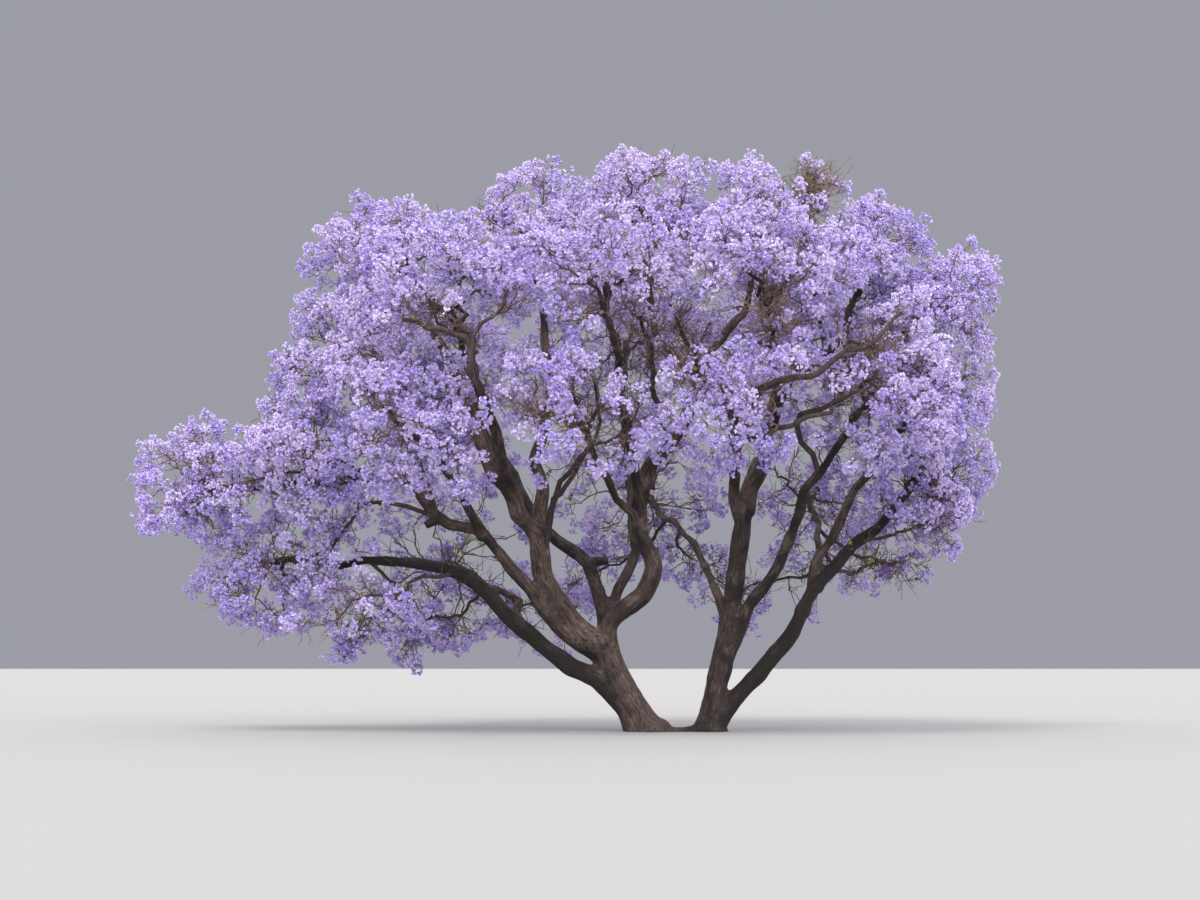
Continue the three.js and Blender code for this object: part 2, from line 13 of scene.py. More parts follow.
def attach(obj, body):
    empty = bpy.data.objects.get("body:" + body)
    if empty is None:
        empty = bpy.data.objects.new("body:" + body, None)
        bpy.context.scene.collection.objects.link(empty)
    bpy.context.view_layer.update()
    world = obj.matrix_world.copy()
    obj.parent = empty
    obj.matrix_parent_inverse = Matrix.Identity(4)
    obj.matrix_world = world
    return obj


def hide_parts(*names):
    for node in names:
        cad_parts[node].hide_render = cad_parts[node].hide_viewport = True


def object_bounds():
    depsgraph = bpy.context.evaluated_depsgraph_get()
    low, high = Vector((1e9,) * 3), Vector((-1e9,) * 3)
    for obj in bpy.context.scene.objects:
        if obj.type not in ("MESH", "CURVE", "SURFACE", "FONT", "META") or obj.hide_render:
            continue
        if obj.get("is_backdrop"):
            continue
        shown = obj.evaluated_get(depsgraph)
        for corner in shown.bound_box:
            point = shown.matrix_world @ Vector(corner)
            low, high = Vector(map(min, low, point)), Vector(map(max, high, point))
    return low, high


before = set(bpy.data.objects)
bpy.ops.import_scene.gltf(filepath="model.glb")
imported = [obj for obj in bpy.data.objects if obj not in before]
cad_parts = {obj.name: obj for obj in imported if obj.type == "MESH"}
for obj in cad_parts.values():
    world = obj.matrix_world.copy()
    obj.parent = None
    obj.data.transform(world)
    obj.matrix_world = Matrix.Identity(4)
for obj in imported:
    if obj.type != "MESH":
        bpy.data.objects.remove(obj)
cad_box = [list(corner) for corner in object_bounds()]
BOX_LOW, BOX_HIGH = np.array(cad_box[0]), np.array(cad_box[1])
print("plain tree", np.round(BOX_LOW, 2), np.round(BOX_HIGH, 2), len(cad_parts), "nodes")

# %% [markdown]
# ## Camera, floor and light
# The photograph was taken from far off, low down and a little tilted up. A long lens does that
# here. The floor is a plain pale sheet, so wide that its edge looks like the horizon. The light
# is a high soft sun, a wide lamp from the viewer's side that fills in the shade, and a dome of
# sky, so that the tops of the flower clusters are bright and their undersides fall into a bluer
# shade.

# %% The camera
CAMERA_PLACE = (-1.43, -44.0, 1.33)
CAMERA_TILT = 5.4
LENS = 67.5
VIEW_DEPTH = 1000

scene = bpy.context.scene
camera = bpy.data.objects.new("camera", bpy.data.cameras.new("camera"))
camera.data.lens = LENS
camera.data.clip_end = VIEW_DEPTH
camera.location = CAMERA_PLACE
camera.rotation_euler = (np.radians(90 + CAMERA_TILT), 0, 0)
scene.collection.objects.link(camera)
scene.camera = camera
scene.view_settings.view_transform = "Standard"
print("camera at", CAMERA_PLACE, "with a lens of", LENS, "mm")

# %% Sun and sky
# Each lamp has its strength, its width and its turn in degrees, and its colour.
LAMPS = {
    "sun": (2.05, 26, (36, 0, -26), (1.0, 0.96, 0.9)),
    "fill": (2.45, 80, (74, 0, 18), (1.0, 0.97, 0.96)),
    "dome": (2.65, 180, (0, 0, 0), (0.98, 0.95, 1.0)),
}
SKY_COLOUR = (0.87, 0.88, 1.0, 1)
SKY_STRENGTH = 0.38

for name, (strength, width, turn, colour) in LAMPS.items():
    lamp = bpy.data.objects.new(name, bpy.data.lights.new(name, "SUN"))
    lamp.data.energy = strength
    lamp.data.angle = np.radians(width)
    lamp.data.color = colour
    lamp.rotation_euler = np.radians(turn)
    scene.collection.objects.link(lamp)

world = bpy.data.worlds.new("sky")
world.use_nodes = True
world.node_tree.nodes["Background"].inputs["Color"].default_value = SKY_COLOUR
world.node_tree.nodes["Background"].inputs["Strength"].default_value = SKY_STRENGTH
scene.world = world
print("lamps:", ", ".join(LAMPS))

# %% The floor
FLOOR_SIZE = 900
FLOOR_COLOUR = (0.36, 0.36, 0.35, 1)
FLOOR_ROUGHNESS = 0.9

floor_mesh = bpy.data.meshes.new("floor")
half = FLOOR_SIZE / 2
floor_mesh.from_pydata(
    [(-half, -half, 0), (half, -half, 0), (half, half, 0), (-half, half, 0)], [], [(0, 1, 2, 3)]
)
floor_paint = bpy.data.materials.new("pale_floor")
floor_paint.use_nodes = True
floor_shader = floor_paint.node_tree.nodes["Principled BSDF"]
floor_shader.inputs["Base Color"].default_value = FLOOR_COLOUR
floor_shader.inputs["Roughness"].default_value = FLOOR_ROUGHNESS
floor_mesh.materials.append(floor_paint)
floor = bpy.data.objects.new("floor", floor_mesh)
scene.collection.objects.link(floor)
floor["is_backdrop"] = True
print("floor", FLOOR_SIZE, "m wide")

# %% [markdown]
# ## Limbs as lines
# A limb starts as a line through a few knees, with a radius at each end. A centripetal
# Catmull-Rom curve passes through every knee and doesn't loop or overshoot where knees are
# unevenly spaced, which suits crooked boughs. The plain tree uses the same lines, so what we
# grow here fits it.

# %% A smooth line through knees
LENGTH_STEPS = 200
NO_LENGTH = 1e-9


def line_at(knees, shares):
    """Points on the curve through the knees, at shares of its knee count."""
    knees = np.asarray(knees, float)
    place = np.clip(np.asarray(shares, float), 0, 1) * (len(knees) - 1)
    first = np.minimum(place.astype(int), len(knees) - 2)
    part = (place - first)[:, None]
    run = np.vstack([2 * knees[0] - knees[1], knees, 2 * knees[-1] - knees[-2]])
    p0, p1, p2, p3 = (run[first + step] for step in range(4))
    gap0, gap1, gap2 = (
        np.sqrt(np.linalg.norm(b - a, axis=1, keepdims=True)) for a, b in ((p0, p1), (p1, p2), (p2, p3))
    )
    lean1 = ((p1 - p0) / gap0 - (p2 - p0) / (gap0 + gap1) + (p2 - p1) / gap1) * gap1
    lean2 = ((p2 - p1) / gap1 - (p3 - p1) / (gap1 + gap2) + (p3 - p2) / gap2) * gap1
    square = -3 * p1 + 3 * p2 - 2 * lean1 - lean2
    cube = 2 * p1 - 2 * p2 + lean1 + lean2
    return p1 + lean1 * part + square * part**2 + cube * part**3


def measured(knees):
    """The curve's length, and the knee shares at even steps of its length."""
    shares = np.linspace(0, 1, LENGTH_STEPS + 1)
    points = line_at(knees, shares)
    run = np.concatenate([[0], np.cumsum(np.linalg.norm(np.diff(points, axis=0), axis=1))])
    return run[-1], lambda even: line_at(knees, np.interp(np.asarray(even) * run[-1], run, shares))


def unit(vectors):
    """Vectors made one metre long, and left as they are where they have no length."""
    vectors = np.asarray(vectors, float)
    return vectors / np.maximum(np.linalg.norm(vectors, axis=-1, keepdims=True), NO_LENGTH)


print("a line through three knees is", round(measured([(0, 0, 0), (1, 0, 1), (1, 0, 2)])[0], 2), "m long")

# %% [markdown]
# ## The tree's plan
# Two stems rise from one root crown. Each bough names its parent, where it leaves it, its
# knees, its radii and the mass of blossom it feeds. Each mass has a centre, a reach along the
# three axes, a share of its underside in bloom, and a seed. The plain tree was drawn from the
# same rows, and its finished solids no longer tell them, so they stand here once more.

# %% Stems and masses
# A stem has its knees, its thick and thin radius, and the turn of its root lobes.
STEMS = {
    "left_stem": ([(-0.4, 0, -0.4), (-0.6, 0, 0.05), (-0.98, 0, 0.8), (-1.42, 0, 1.7)], 0.31, 0.27, 0.5),
    "right_stem": (
        [(0.66, 0, -0.4), (0.7, 0, 0.05), (0.82, 0, 0.8), (1.08, 0, 2.0), (1.22, 0, 3.0), (1.42, 0, 4.4)],
        0.27, 0.16, 2.2,
    ),
}
# A mass has its name, its centre, its reach, and the share of its underside in bloom.
MASS_ROWS = """
far_left -9.1 -0.2 4.65 1.6 1.9 1.45 0.9
low_left -7.9 0.5 3.35 1.9 2.0 1.6 1.0
left_middle -6.75 -0.8 5.2 1.8 2.2 1.5 0.9
left_shoulder -6.35 0.2 7.25 1.75 2.2 1.5 0.5
left_crest -5.5 0.2 9.25 1.8 2.1 1.45 0.5
top_left -2.75 0.2 9.6 1.75 2.4 1.7 0.3
top -0.55 0.1 10.1 1.75 2.4 1.6 0.3
top_right 1.75 0.1 9.75 1.8 2.4 1.55 0.3
right_crest 3.85 0.1 9.1 1.65 2.3 1.55 0.4
right_shoulder 5.1 0.0 8.2 1.55 2.1 1.6 0.5
right_middle 5.05 0.1 6.6 1.5 2.1 1.5 0.7
right_low 4.85 0.1 4.95 1.5 2.0 1.5 1.0
front_left_low -4.75 -3.0 5.6 1.9 2.1 1.55 0.8
front_left -4.2 -3.2 7.9 2.0 2.2 1.65 0.4
front_middle_low -1.9 -3.7 5.75 1.7 2.0 1.4 0.9
front_middle -1.35 -3.5 8.15 2.0 2.3 1.6 0.4
front_right_low 0.95 -3.8 5.9 1.8 2.0 1.4 0.9
front_right 1.55 -3.4 8.15 2.0 2.3 1.6 0.4
right_front 3.6 -2.9 6.3 1.8 2.2 1.8 0.8
back_left_low -4.5 2.9 3.4 2.1 2.1 2.0 0.9
back_left -4.4 3.5 7.0 2.3 2.5 2.0 0.5
back_middle -0.9 3.9 8.2 2.3 2.4 1.9 0.4
back_middle_low -0.6 4.3 5.0 2.1 2.0 1.8 1.0
back_right 2.5 3.7 8.0 2.2 2.4 1.9 0.4
back_right_low 3.0 3.7 4.95 2.1 2.1 1.9 1.0
"""
print(len(STEMS), "stems and", len(MASS_ROWS.split("\n")) - 2, "masses")

# %% Boughs and stubs
# A bough has its name, its parent, the share of the parent's knees where it leaves, its thick
# and thin radius, the mass it feeds or a dash, and its knees.
BOUGH_ROWS = """
main_left_bough left_stem .97 .24 .08 left_crest -2.05,0,2.3 -2.5,-.1,2.95 -2.68,-.25,3.8 \
-3,-.4,4.45 -3.5,-.5,5.15 -4.1,-.2,6.7
s_bough left_stem .9 .2 .12 - -1.15,-.1,2.15 -.6,-.3,2.72 -.4,-.3,3.25 -.7,-.3,4.1 \
-.5,-.25,4.95 .25,-.1,6.1 .57,0,6.95
low_left_bough left_stem .47 .2 .08 low_left -2.05,-.1,1.42 -3.2,-.3,2.2 -3.55,-.35,2.58 \
-4.1,-.4,3 -5,-.3,3.25
back_left_bough left_stem .97 .16 .07 back_left -1.42,.7,2.6 -1.65,1.1,3.25 -2.6,2,4.15 -3.3,2.7,5.3
back_middle_bough left_stem .91 .13 .07 back_middle -1.1,.7,2.6 -.78,1.2,3.4 -.82,1.9,4.6 -1,2.6,5.8
second_left_bough left_stem .88 .15 .07 far_left -2.08,-.05,1.96 -2.9,-.25,2.9 -3.6,-.5,3.68 \
-4.55,-.6,4.18 -5.3,-.5,4.85 -6.8,-.3,4.85
left_middle_bough second_left_bough .68 .09 .06 left_middle
shoulder_bough second_left_bough .6 .1 .06 left_shoulder -5.05,-.3,5.4
inner_left_bough main_left_bough .34 .15 .08 top_left -2.62,0,4.7 -2.7,.2,5.3 -2.4,.3,6.6
front_left_bough main_left_bough .58 .12 .07 front_left -3.6,-1.5,6
front_left_low_bough second_left_bough .44 .1 .06 front_left_low -4.05,-1.3,4.45
hanging_bough low_left_bough .3 .1 .06 back_left_low -3.15,.7,2.6
top_bough s_bough .99 .11 .07 top .1,.05,7.4 -.3,.1,7.9
top_right_bough s_bough .97 .11 .07 top_right .85,0,7.6 1.4,.05,8.1
front_middle_bough s_bough .6 .12 .07 front_middle -.8,-1.3,5.5 -1.1,-2.3,6.7
front_middle_low_bough s_bough .47 .09 .06 front_middle_low -1.1,-1.3,4.6
right_bough right_stem .98 .16 .08 right_crest 1.75,.1,5.1 2,.2,6.2 2.35,.2,7 3.2,.2,7.5
upright_bough right_stem .96 .13 .07 front_right_low 1.2,-.4,4.95 1.1,-1.5,5.4
low_right_bough right_stem .16 .2 .09 right_low 1.5,-.05,1 2.3,-.2,1.92 2.65,-.3,2.58 \
3.2,-.3,3.22 4.1,-.15,4.1
upper_right_bough low_right_bough .42 .12 .07 right_middle 2.85,.1,3.25 3.3,.3,3.9 3.75,.4,4.9
outer_right_bough right_stem .45 .14 .07 right_front 1.6,-.25,2.55 2.17,-.6,3.55 2.7,-1.4,4.8
right_shoulder_bough right_bough .7 .09 .06 right_shoulder 3.3,0,7.05
front_right_bough right_bough .35 .11 .07 front_right 2.05,-1.1,6.8
back_right_bough right_stem .8 .13 .07 back_right 1.5,.9,4.6 1.9,1.9,5.8
back_middle_low_bough right_stem .55 .1 .06 back_middle_low .7,1,3.2 .2,2.1,4.1
back_right_low_bough low_right_bough .55 .1 .06 back_right_low 3,1,3.4
"""
# A stub has its share of the bough's length, its reach and its radius.
STUBS = {
    "back_left_bough": (0.33, (0.42, 0, 0.06), 0.1),
    "second_left_bough": (0.52, (-0.3, 0, -0.12), 0.09),
}
print(len(BOUGH_ROWS.split("\n")) - 2, "boughs and", len(STUBS), "pruned stubs")

# %% Read the plan
FIRST_MASS_SEED = 11
ENTRY_SHARE = 0.55
SAMPLE_STEP = 0.12


def read_masses():
    """The masses by name."""
    found = {}
    for order, row in enumerate(MASS_ROWS.split("\n")[1:-1]):
        name, *numbers = row.split()
        numbers = np.array(numbers, float)
        found[name] = {
            "name": name, "centre": numbers[:3], "reach": numbers[3:6],
            "under": numbers[6], "seed": FIRST_MASS_SEED + order,
        }
    return found


def read_limbs():
    """Stems and boughs by name. A bough's last knee lies inside the mass that it feeds."""
    found = {}
    for name, (knees, thick, thin, turn) in STEMS.items():
        found[name] = {"name": name, "knees": np.array(knees), "thick": thick, "thin": thin, "turn": turn}
    for row in BOUGH_ROWS.split("\n")[1:-1]:
        name, parent, share, thick, thin, feeds, *knees = row.split()
        start = line_at(found[parent]["knees"], [float(share)])[0]
        knees = [start] + [np.array(knee.split(","), float) for knee in knees]
        if feeds in masses:
            fed = masses[feeds]
            towards = unit(knees[-1] - fed["centre"])
            edge = np.linalg.norm(fed["reach"] * towards)
            knees.append(fed["centre"] + towards * edge * ENTRY_SHARE)
            fed["bough"] = name
        found[name] = {"name": name, "knees": np.array(knees), "thick": float(thick), "thin": float(thin)}
    for limb in found.values():
        limb["length"], limb["even"] = measured(limb["knees"])
        limb["steps"] = int(np.ceil(limb["length"] / SAMPLE_STEP))
    return found


masses = read_masses()
limbs = read_limbs()
sample_points = np.vstack(
    [limb["even"](np.linspace(0, 1, limb["steps"] + 1)) for limb in limbs.values()]
)
sample_radii = np.concatenate(
    [np.linspace(limb["thick"], limb["thin"], limb["steps"] + 1) for limb in limbs.values()]
)
whole_length = round(sum(limb["length"] for limb in limbs.values()))
print(len(limbs), "limbs,", len(masses), "masses,", whole_length, "m")

# %% [markdown]
# Each flowering tip of a jacaranda ends a shoot, and the next one leaves at an angle, so even
# old boughs keep small elbows. We bend each bough by a few centimetres at every half metre or
# so. Its two ends stay where the plan has them.

# %% Put elbows in the boughs
ELBOW_STEP, ELBOW_REACH = 0.55, 0.05
ELBOW_SEED = 7
elbows = np.random.default_rng(ELBOW_SEED)


def with_elbows(straight, length):
    """A limb's line with small bends at even steps and none at its ends."""
    count = int(length / ELBOW_STEP) + 2
    places = np.linspace(0, 1, count)
    offsets = elbows.normal(0, ELBOW_REACH, (count, 3))
    offsets[[0, -1]] = 0

    def even(shares):
        bends = [np.interp(shares, places, offsets[:, axis]) for axis in range(3)]
        return straight(shares) + np.stack(bends, axis=-1)

    return even


for limb in limbs.values():
    if limb["name"] not in STEMS:
        limb["even"] = with_elbows(limb["even"], limb["length"])
print("elbows in", len(limbs) - len(STEMS), "boughs")

# %% [markdown]
# ## One skin of bark
# The stems and boughs are wood that has grown together, so their skin has to run from one
# into the next with no seam. We loft a closed tube round each line, with a swollen collar
# where a bough leaves its parent and root lobes at the feet, let a voxel remesh fuse them
# all, and smooth the result. Booleans would leave sharp creases in the forks.

# %% Directions along a line
SLANT = np.array([0.31, 0.93, 0.2])


def frames_along(points):
    """Unit vectors along and across a line, carried from ring to ring without twisting."""
    along = unit(np.gradient(points, axis=0))
    across = np.empty_like(along)
    spoke = unit(np.cross(along[0], SLANT))
    for ring, direction in enumerate(along):
        spoke = unit(spoke - direction * spoke.dot(direction))
        across[ring] = spoke
    return along, across, np.cross(along, across)


def spokes_round(points, sides):
    """Unit spokes at even angles round each point of a line."""
    _, across, third = frames_along(points)
    angles = np.linspace(0, 2 * np.pi, sides, endpoint=False)[None, :, None]
    return np.cos(angles) * across[:, None] + np.sin(angles) * third[:, None]


print("the first spoke of a line is square to it and to", SLANT)

# %% Loft a tube round a line
def closed_tube(rings):
    """Corners and faces of a tube through rings of corners, with a fan over each end."""
    count, sides, _ = rings.shape
    corners = np.vstack([rings.reshape(-1, 3), rings[0].mean(0), rings[-1].mean(0)])
    faces = []
    for ring in range(count - 1):
        for side in range(sides):
            after = (side + 1) % sides
            low, high = ring * sides, (ring + 1) * sides
            faces.append((low + side, low + after, high + after, high + side))
    last = (count - 1) * sides
    for side in range(sides):
        after = (side + 1) % sides
        faces.append((count * sides, after, side))
        faces.append((count * sides + 1, last + side, last + after))
    return corners, faces


def round_tube(points, radius, sides):
    """A closed tube of one thickness along a line of points."""
    return closed_tube(points[:, None] + radius * spokes_round(points, sides))


POST_SIDES = 6
post_corners, post_faces = round_tube(np.array([(0, 0, 0), (0, 0, 1)]), 1, POST_SIDES)
print("a post with", POST_SIDES, "sides has", len(post_corners), "corners and", len(post_faces), "faces")

# %% Make the tube uneven, as wood is
RING_STEP = 0.07
LIMB_SIDES = 20
COLLAR_SWELL, COLLAR_LENGTH = 0.34, 0.3
FLARE_SHARE, FLARE_HEIGHT = 0.5, 0.15
ROOT_LOBES, ROOT_LOBE_DEPTH = 5, 0.16
LONG_WAVE, LONG_SWELL = 3.1, 0.04
SHORT_WAVE, SHORT_SWELL = 7.3, 0.025
OVAL_DEPTH, OVAL_TWIST = 0.05, 0.7
FLUTES, FLUTE_DEPTH = 5, 0.025


def limb_tube(limb, order):
    """A limb's tube, with a root flare and lobes on a stem and a collar on a bough."""
    rings = int(limb["length"] / RING_STEP) + 2
    shares = np.linspace(0, 1, rings)
    points = limb["even"](shares)
    angles = np.linspace(0, 2 * np.pi, LIMB_SIDES, endpoint=False)
    radius = (limb["thick"] + (limb["thin"] - limb["thick"]) * shares)[:, None]
    run = shares[:, None] * limb["length"]
    long_wave = np.sin(run * LONG_WAVE + order) * LONG_SWELL
    short_wave = np.sin(run * SHORT_WAVE + 2 * order) * SHORT_SWELL
    oval = OVAL_DEPTH * np.cos(2 * angles + order + run * OVAL_TWIST)
    flutes = FLUTE_DEPTH * np.cos(FLUTES * angles + run)
    radius = radius * (1 + (long_wave + short_wave) + (oval + flutes))
    if "turn" in limb:
        flare = np.exp(-np.maximum(points[:, 2:], 0) / FLARE_HEIGHT)
        lobes = np.cos(ROOT_LOBES * angles + limb["turn"])
        radius = radius * (1 + flare * (FLARE_SHARE + ROOT_LOBE_DEPTH * lobes))
    else:
        radius = radius * (1 + COLLAR_SWELL * np.exp(-((run / COLLAR_LENGTH) ** 2)))
    return closed_tube(points[:, None] + spokes_round(points, LIMB_SIDES) * radius[..., None])


print("limbs have", LIMB_SIDES, "sides and a ring every", RING_STEP, "m")

# %% Turn corners and faces into an object
def mesh_from(name, parts):
    """One mesh from several (corners, faces)."""
    corners, faces, first = [], [], 0
    for part_corners, part_faces in parts:
        corners.append(part_corners)
        faces += [tuple(first + corner for corner in face) for face in part_faces]
        first += len(part_corners)
    mesh = bpy.data.meshes.new(name)
    mesh.from_pydata(np.vstack(corners).tolist(), [], faces)
    return mesh


def object_of(name, mesh):
    """An object at the origin that shows a mesh."""
    made = bpy.data.objects.new(name, mesh)
    scene.collection.objects.link(made)
    return made


def baked(piece):
    """Puts what the modifiers make into the piece's own mesh, and takes them off."""
    graph = bpy.context.evaluated_depsgraph_get()
    made = bpy.data.meshes.new_from_object(
        piece.evaluated_get(graph), preserve_all_data_layers=True, depsgraph=graph
    )
    old = piece.data
    piece.modifiers.clear()
    piece.data = made
    bpy.data.meshes.remove(old)
    made.name = piece.name
    return piece


def triangles_in(piece):
    """How many triangles a piece comes to."""
    return sum(len(polygon.vertices) - 2 for polygon in piece.data.polygons)


# %% Fuse the limbs
VOXEL = 0.036
SMOOTH_SHARE, SMOOTHINGS = 0.5, 4
STUB_SIDES, STUB_KNOTS = 14, 6
SADDLE_KNOTS = 12
SADDLE_RADIUS, SADDLE_DEPTH, SADDLE_SAG = 0.3, 0.12, 0.09

tubes = [limb_tube(limb, order) for order, limb in enumerate(limbs.values())]
for name, (share, towards, radius) in STUBS.items():
    root = limbs[name]["even"]([share])[0]
    stub = root + np.linspace(0, 1, STUB_KNOTS)[:, None] * np.array(towards)
    tubes.append(round_tube(stub, radius, STUB_SIDES))
saddle = np.linspace(STEMS["left_stem"][0][1], STEMS["right_stem"][0][1], SADDLE_KNOTS)
saddle[:, 2] = -SADDLE_DEPTH - SADDLE_SAG * np.sin(np.linspace(0, np.pi, SADDLE_KNOTS))
tubes.append(round_tube(saddle, SADDLE_RADIUS, LIMB_SIDES))

bark = object_of("bark", mesh_from("bark", tubes))
remesh = bark.modifiers.new("fuse", "REMESH")
remesh.mode, remesh.voxel_size = "VOXEL", VOXEL
smooth = bark.modifiers.new("soften", "SMOOTH")
smooth.factor, smooth.iterations = SMOOTH_SHARE, SMOOTHINGS
baked(bark)
print("fused bark", len(bark.data.vertices), "corners")

# %% [markdown]
# The fused skin goes on below the ground, and the plain tree ends at a flat cut there. We cut
# the mesh itself, because a boolean with a block would do the same with more to go wrong, and
# close the open rim so that the skin stays watertight.

# %% Cut it flat at the ground
MOST_SIDES = 4

skin = bmesh.new()
skin.from_mesh(bark.data)
bmesh.ops.bisect_plane(
    skin, geom=skin.verts[:] + skin.edges[:] + skin.faces[:], plane_co=(0, 0, 0), plane_no=(0, 0, 1),
    clear_inner=True,
)
rim = [edge for edge in skin.edges if edge.is_boundary]
bmesh.ops.holes_fill(skin, edges=rim, sides=0)
bmesh.ops.triangulate(skin, faces=[face for face in skin.faces if len(face.verts) > MOST_SIDES])
bmesh.ops.recalc_face_normals(skin, faces=skin.faces)
skin.to_mesh(bark.data)
skin.free()
print("flat cut with", len(rim), "rim edges; box", np.round(np.array(bark.bound_box)[[0, 6]], 2))

# %% [markdown]
# ## Grain that follows the wood
# Bark furrows run along a limb, so a pattern needs to know which way the limb runs. We store
# for each corner its place in the nearest limb's own frame: across, across, and along. A noise
# that is stretched on the last one gives furrows that turn with every bough.

# %% Store the grain on the bark
FINE_STEP = 0.05
GRAIN_CHUNK = 4000
RUN_APART = 10


def fine_samples(limb, order):
    """Close points along a limb, with its own three directions, its radius and its run."""
    shares = np.linspace(0, 1, int(limb["length"] / FINE_STEP) + 2)
    points = limb["even"](shares)
    along, across, third = frames_along(points)
    radii = limb["thick"] + (limb["thin"] - limb["thick"]) * shares
    runs = shares * limb["length"] + RUN_APART * order
    return points, np.stack([across, third, along], axis=1), radii, runs


samples = [fine_samples(limb, order) for order, limb in enumerate(limbs.values())]
fine_points, fine_frames, fine_radii, fine_runs = (np.concatenate(kind) for kind in zip(*samples))
fine_limbs = np.repeat(np.arange(len(samples)), [len(points) for points, *_ in samples])


def corners_of(mesh):
    """A mesh's corners as an array."""
    flat = np.empty(len(mesh.vertices) * 3)
    mesh.vertices.foreach_get("co", flat)
    return flat.reshape(-1, 3)


def grain_of(corners):
    """Each corner's place in its nearest limb's own frame, and which limb that is."""
    grain, limb_of = np.empty_like(corners), np.empty(len(corners), int)
    for first in range(0, len(corners), GRAIN_CHUNK):
        some = corners[first : first + GRAIN_CHUNK]
        apart = np.sqrt(np.maximum(
            (some**2).sum(1)[:, None] + (fine_points**2).sum(1) - 2 * some @ fine_points.T, 0
        ))
        nearest = np.argmin(apart - fine_radii, axis=1)
        offset = some - fine_points[nearest]
        local = np.einsum("nij,nj->ni", fine_frames[nearest], offset)
        local[:, 2] += fine_runs[nearest]
        grain[first : first + GRAIN_CHUNK] = local
        limb_of[first : first + GRAIN_CHUNK] = fine_limbs[nearest]
    return grain, limb_of


grain, nearest_limb = grain_of(corners_of(bark.data))
stored = bark.data.attributes.new("grain", "FLOAT_VECTOR", "POINT")
stored.data.foreach_set("vector", grain.ravel())
print("grain stored on", len(grain), "corners")

# %% [markdown]
# Each limb gets its own level of painted shade, darker for the limbs in the crown's shade.
# Undersides get painted shade and tops painted light. We store one number for that on each
# corner, and draw it towards its neighbours' values until the steps between limbs are gone.

# %% Store how dark each limb is
# Painted shade for each limb, darker for the limbs in the crown's shade.
PLAIN_SHADE = 0.25
SHADES = {
    "left_stem": 0.26, "main_left_bough": 0.06, "s_bough": 0.32, "right_stem": 0.6,
    "low_right_bough": 0.88, "outer_right_bough": 0.52, "low_left_bough": 0.86,
    "back_left_bough": 0.6, "back_middle_bough": 0.55, "right_bough": 0.3,
}
# Painted shade on the undersides and painted light on the tops.
LIMB_BLENDS, UNDERSIDE_SHADE_BLENDS = 40, 6
PAINTED_UNDERSIDE_SHADE, PAINTED_TOP_LIGHT = 0.5, 0.08
UNDERSIDE_SHADE_FROM, UNDERSIDE_SHADE_SPAN = 0.15, 0.9

pairs = np.empty(len(bark.data.edges) * 2, int)
bark.data.edges.foreach_get("vertices", pairs)
one_end, other_end = pairs.reshape(-1, 2).T
neighbours = np.bincount(pairs, minlength=len(nearest_limb))


def blended(values, times):
    """Each corner's value drawn halfway to its neighbours' mean, several times over."""
    for _ in range(times):
        around = np.bincount(one_end, values[other_end], len(values))
        around += np.bincount(other_end, values[one_end], len(values))
        values = 0.5 * values + 0.5 * around / neighbours
    return values


normals = np.empty(len(nearest_limb) * 3)
bark.data.vertex_normals.foreach_get("vector", normals)
up = normals[2::3]
# Corners that face down get painted shade, and corners that face up painted light.
underside_shade = np.clip((UNDERSIDE_SHADE_FROM - up) / UNDERSIDE_SHADE_SPAN, 0, 1)
shade = blended(np.array([SHADES.get(name, PLAIN_SHADE) for name in limbs])[nearest_limb], LIMB_BLENDS)
shade = blended(shade + PAINTED_UNDERSIDE_SHADE * underside_shade - PAINTED_TOP_LIGHT * np.clip(up, 0, 1), UNDERSIDE_SHADE_BLENDS).clip(0, 1)
bark.data.attributes.new("shade", "FLOAT", "POINT").data.foreach_set("value", shade)
print("shade from", round(shade.min(), 2), "to", round(shade.max(), 2))

# %% [markdown]
# In a fork the grain of one limb ends where the next one's begins. A pattern that followed the
# grain over that line would tear there, so we mark the line, spread the mark a little, and let
# both the relief and the colour fade to a plain, grainless bark under it, as in a real fork.

# %% Mark where two limbs meet
SEAM_BLENDS, SEAM_GAIN = 8, 2.6

crossing = nearest_limb[one_end] != nearest_limb[other_end]
at_seam = np.zeros(len(nearest_limb))
at_seam[one_end[crossing]] = 1
at_seam[other_end[crossing]] = 1
seam = np.maximum(at_seam, np.clip(blended(at_seam, SEAM_BLENDS) * SEAM_GAIN, 0, 1))
bark.data.attributes.new("seam", "FLOAT", "POINT").data.foreach_set("value", seam)
print("seams on", int(at_seam.sum()), "corners")

# %% [markdown]
# ## Relief in the bark
# Old jacaranda bark is furrowed lengthwise and lumpy where limbs were pruned. Geometry Nodes
# push each corner in or out along its normal by two noises, one stretched along the grain and
# one round, and fade the push out at the flat cut so that it stays flat.

# %% Helpers for node trees
def node_tree(name, sockets):
    """An empty Geometry Nodes tree with a geometry in and out and the named inputs."""
    tree = bpy.data.node_groups.new(name, "GeometryNodeTree")
    tree.interface.new_socket("Geometry", in_out="INPUT", socket_type="NodeSocketGeometry")
    for label, kind, value in sockets:
        socket = tree.interface.new_socket(label, in_out="INPUT", socket_type="NodeSocket" + kind)
        if value is not None:
            socket.default_value = value
    tree.interface.new_socket("Geometry", in_out="OUTPUT", socket_type="NodeSocketGeometry")
    return tree, tree.nodes.new("NodeGroupInput").outputs


def node(tree, kind, inputs=(), **settings):
    """A node with its settings made and its inputs linked or set, by name or place."""
    made = tree.nodes.new(kind)
    for setting, value in settings.items():
        setattr(made, setting, value)
    for key, value in dict(inputs).items():
        socket = made.inputs[key]
        if isinstance(value, bpy.types.NodeSocket):
            tree.links.new(value, socket)
        else:
            socket.default_value = value
    return made


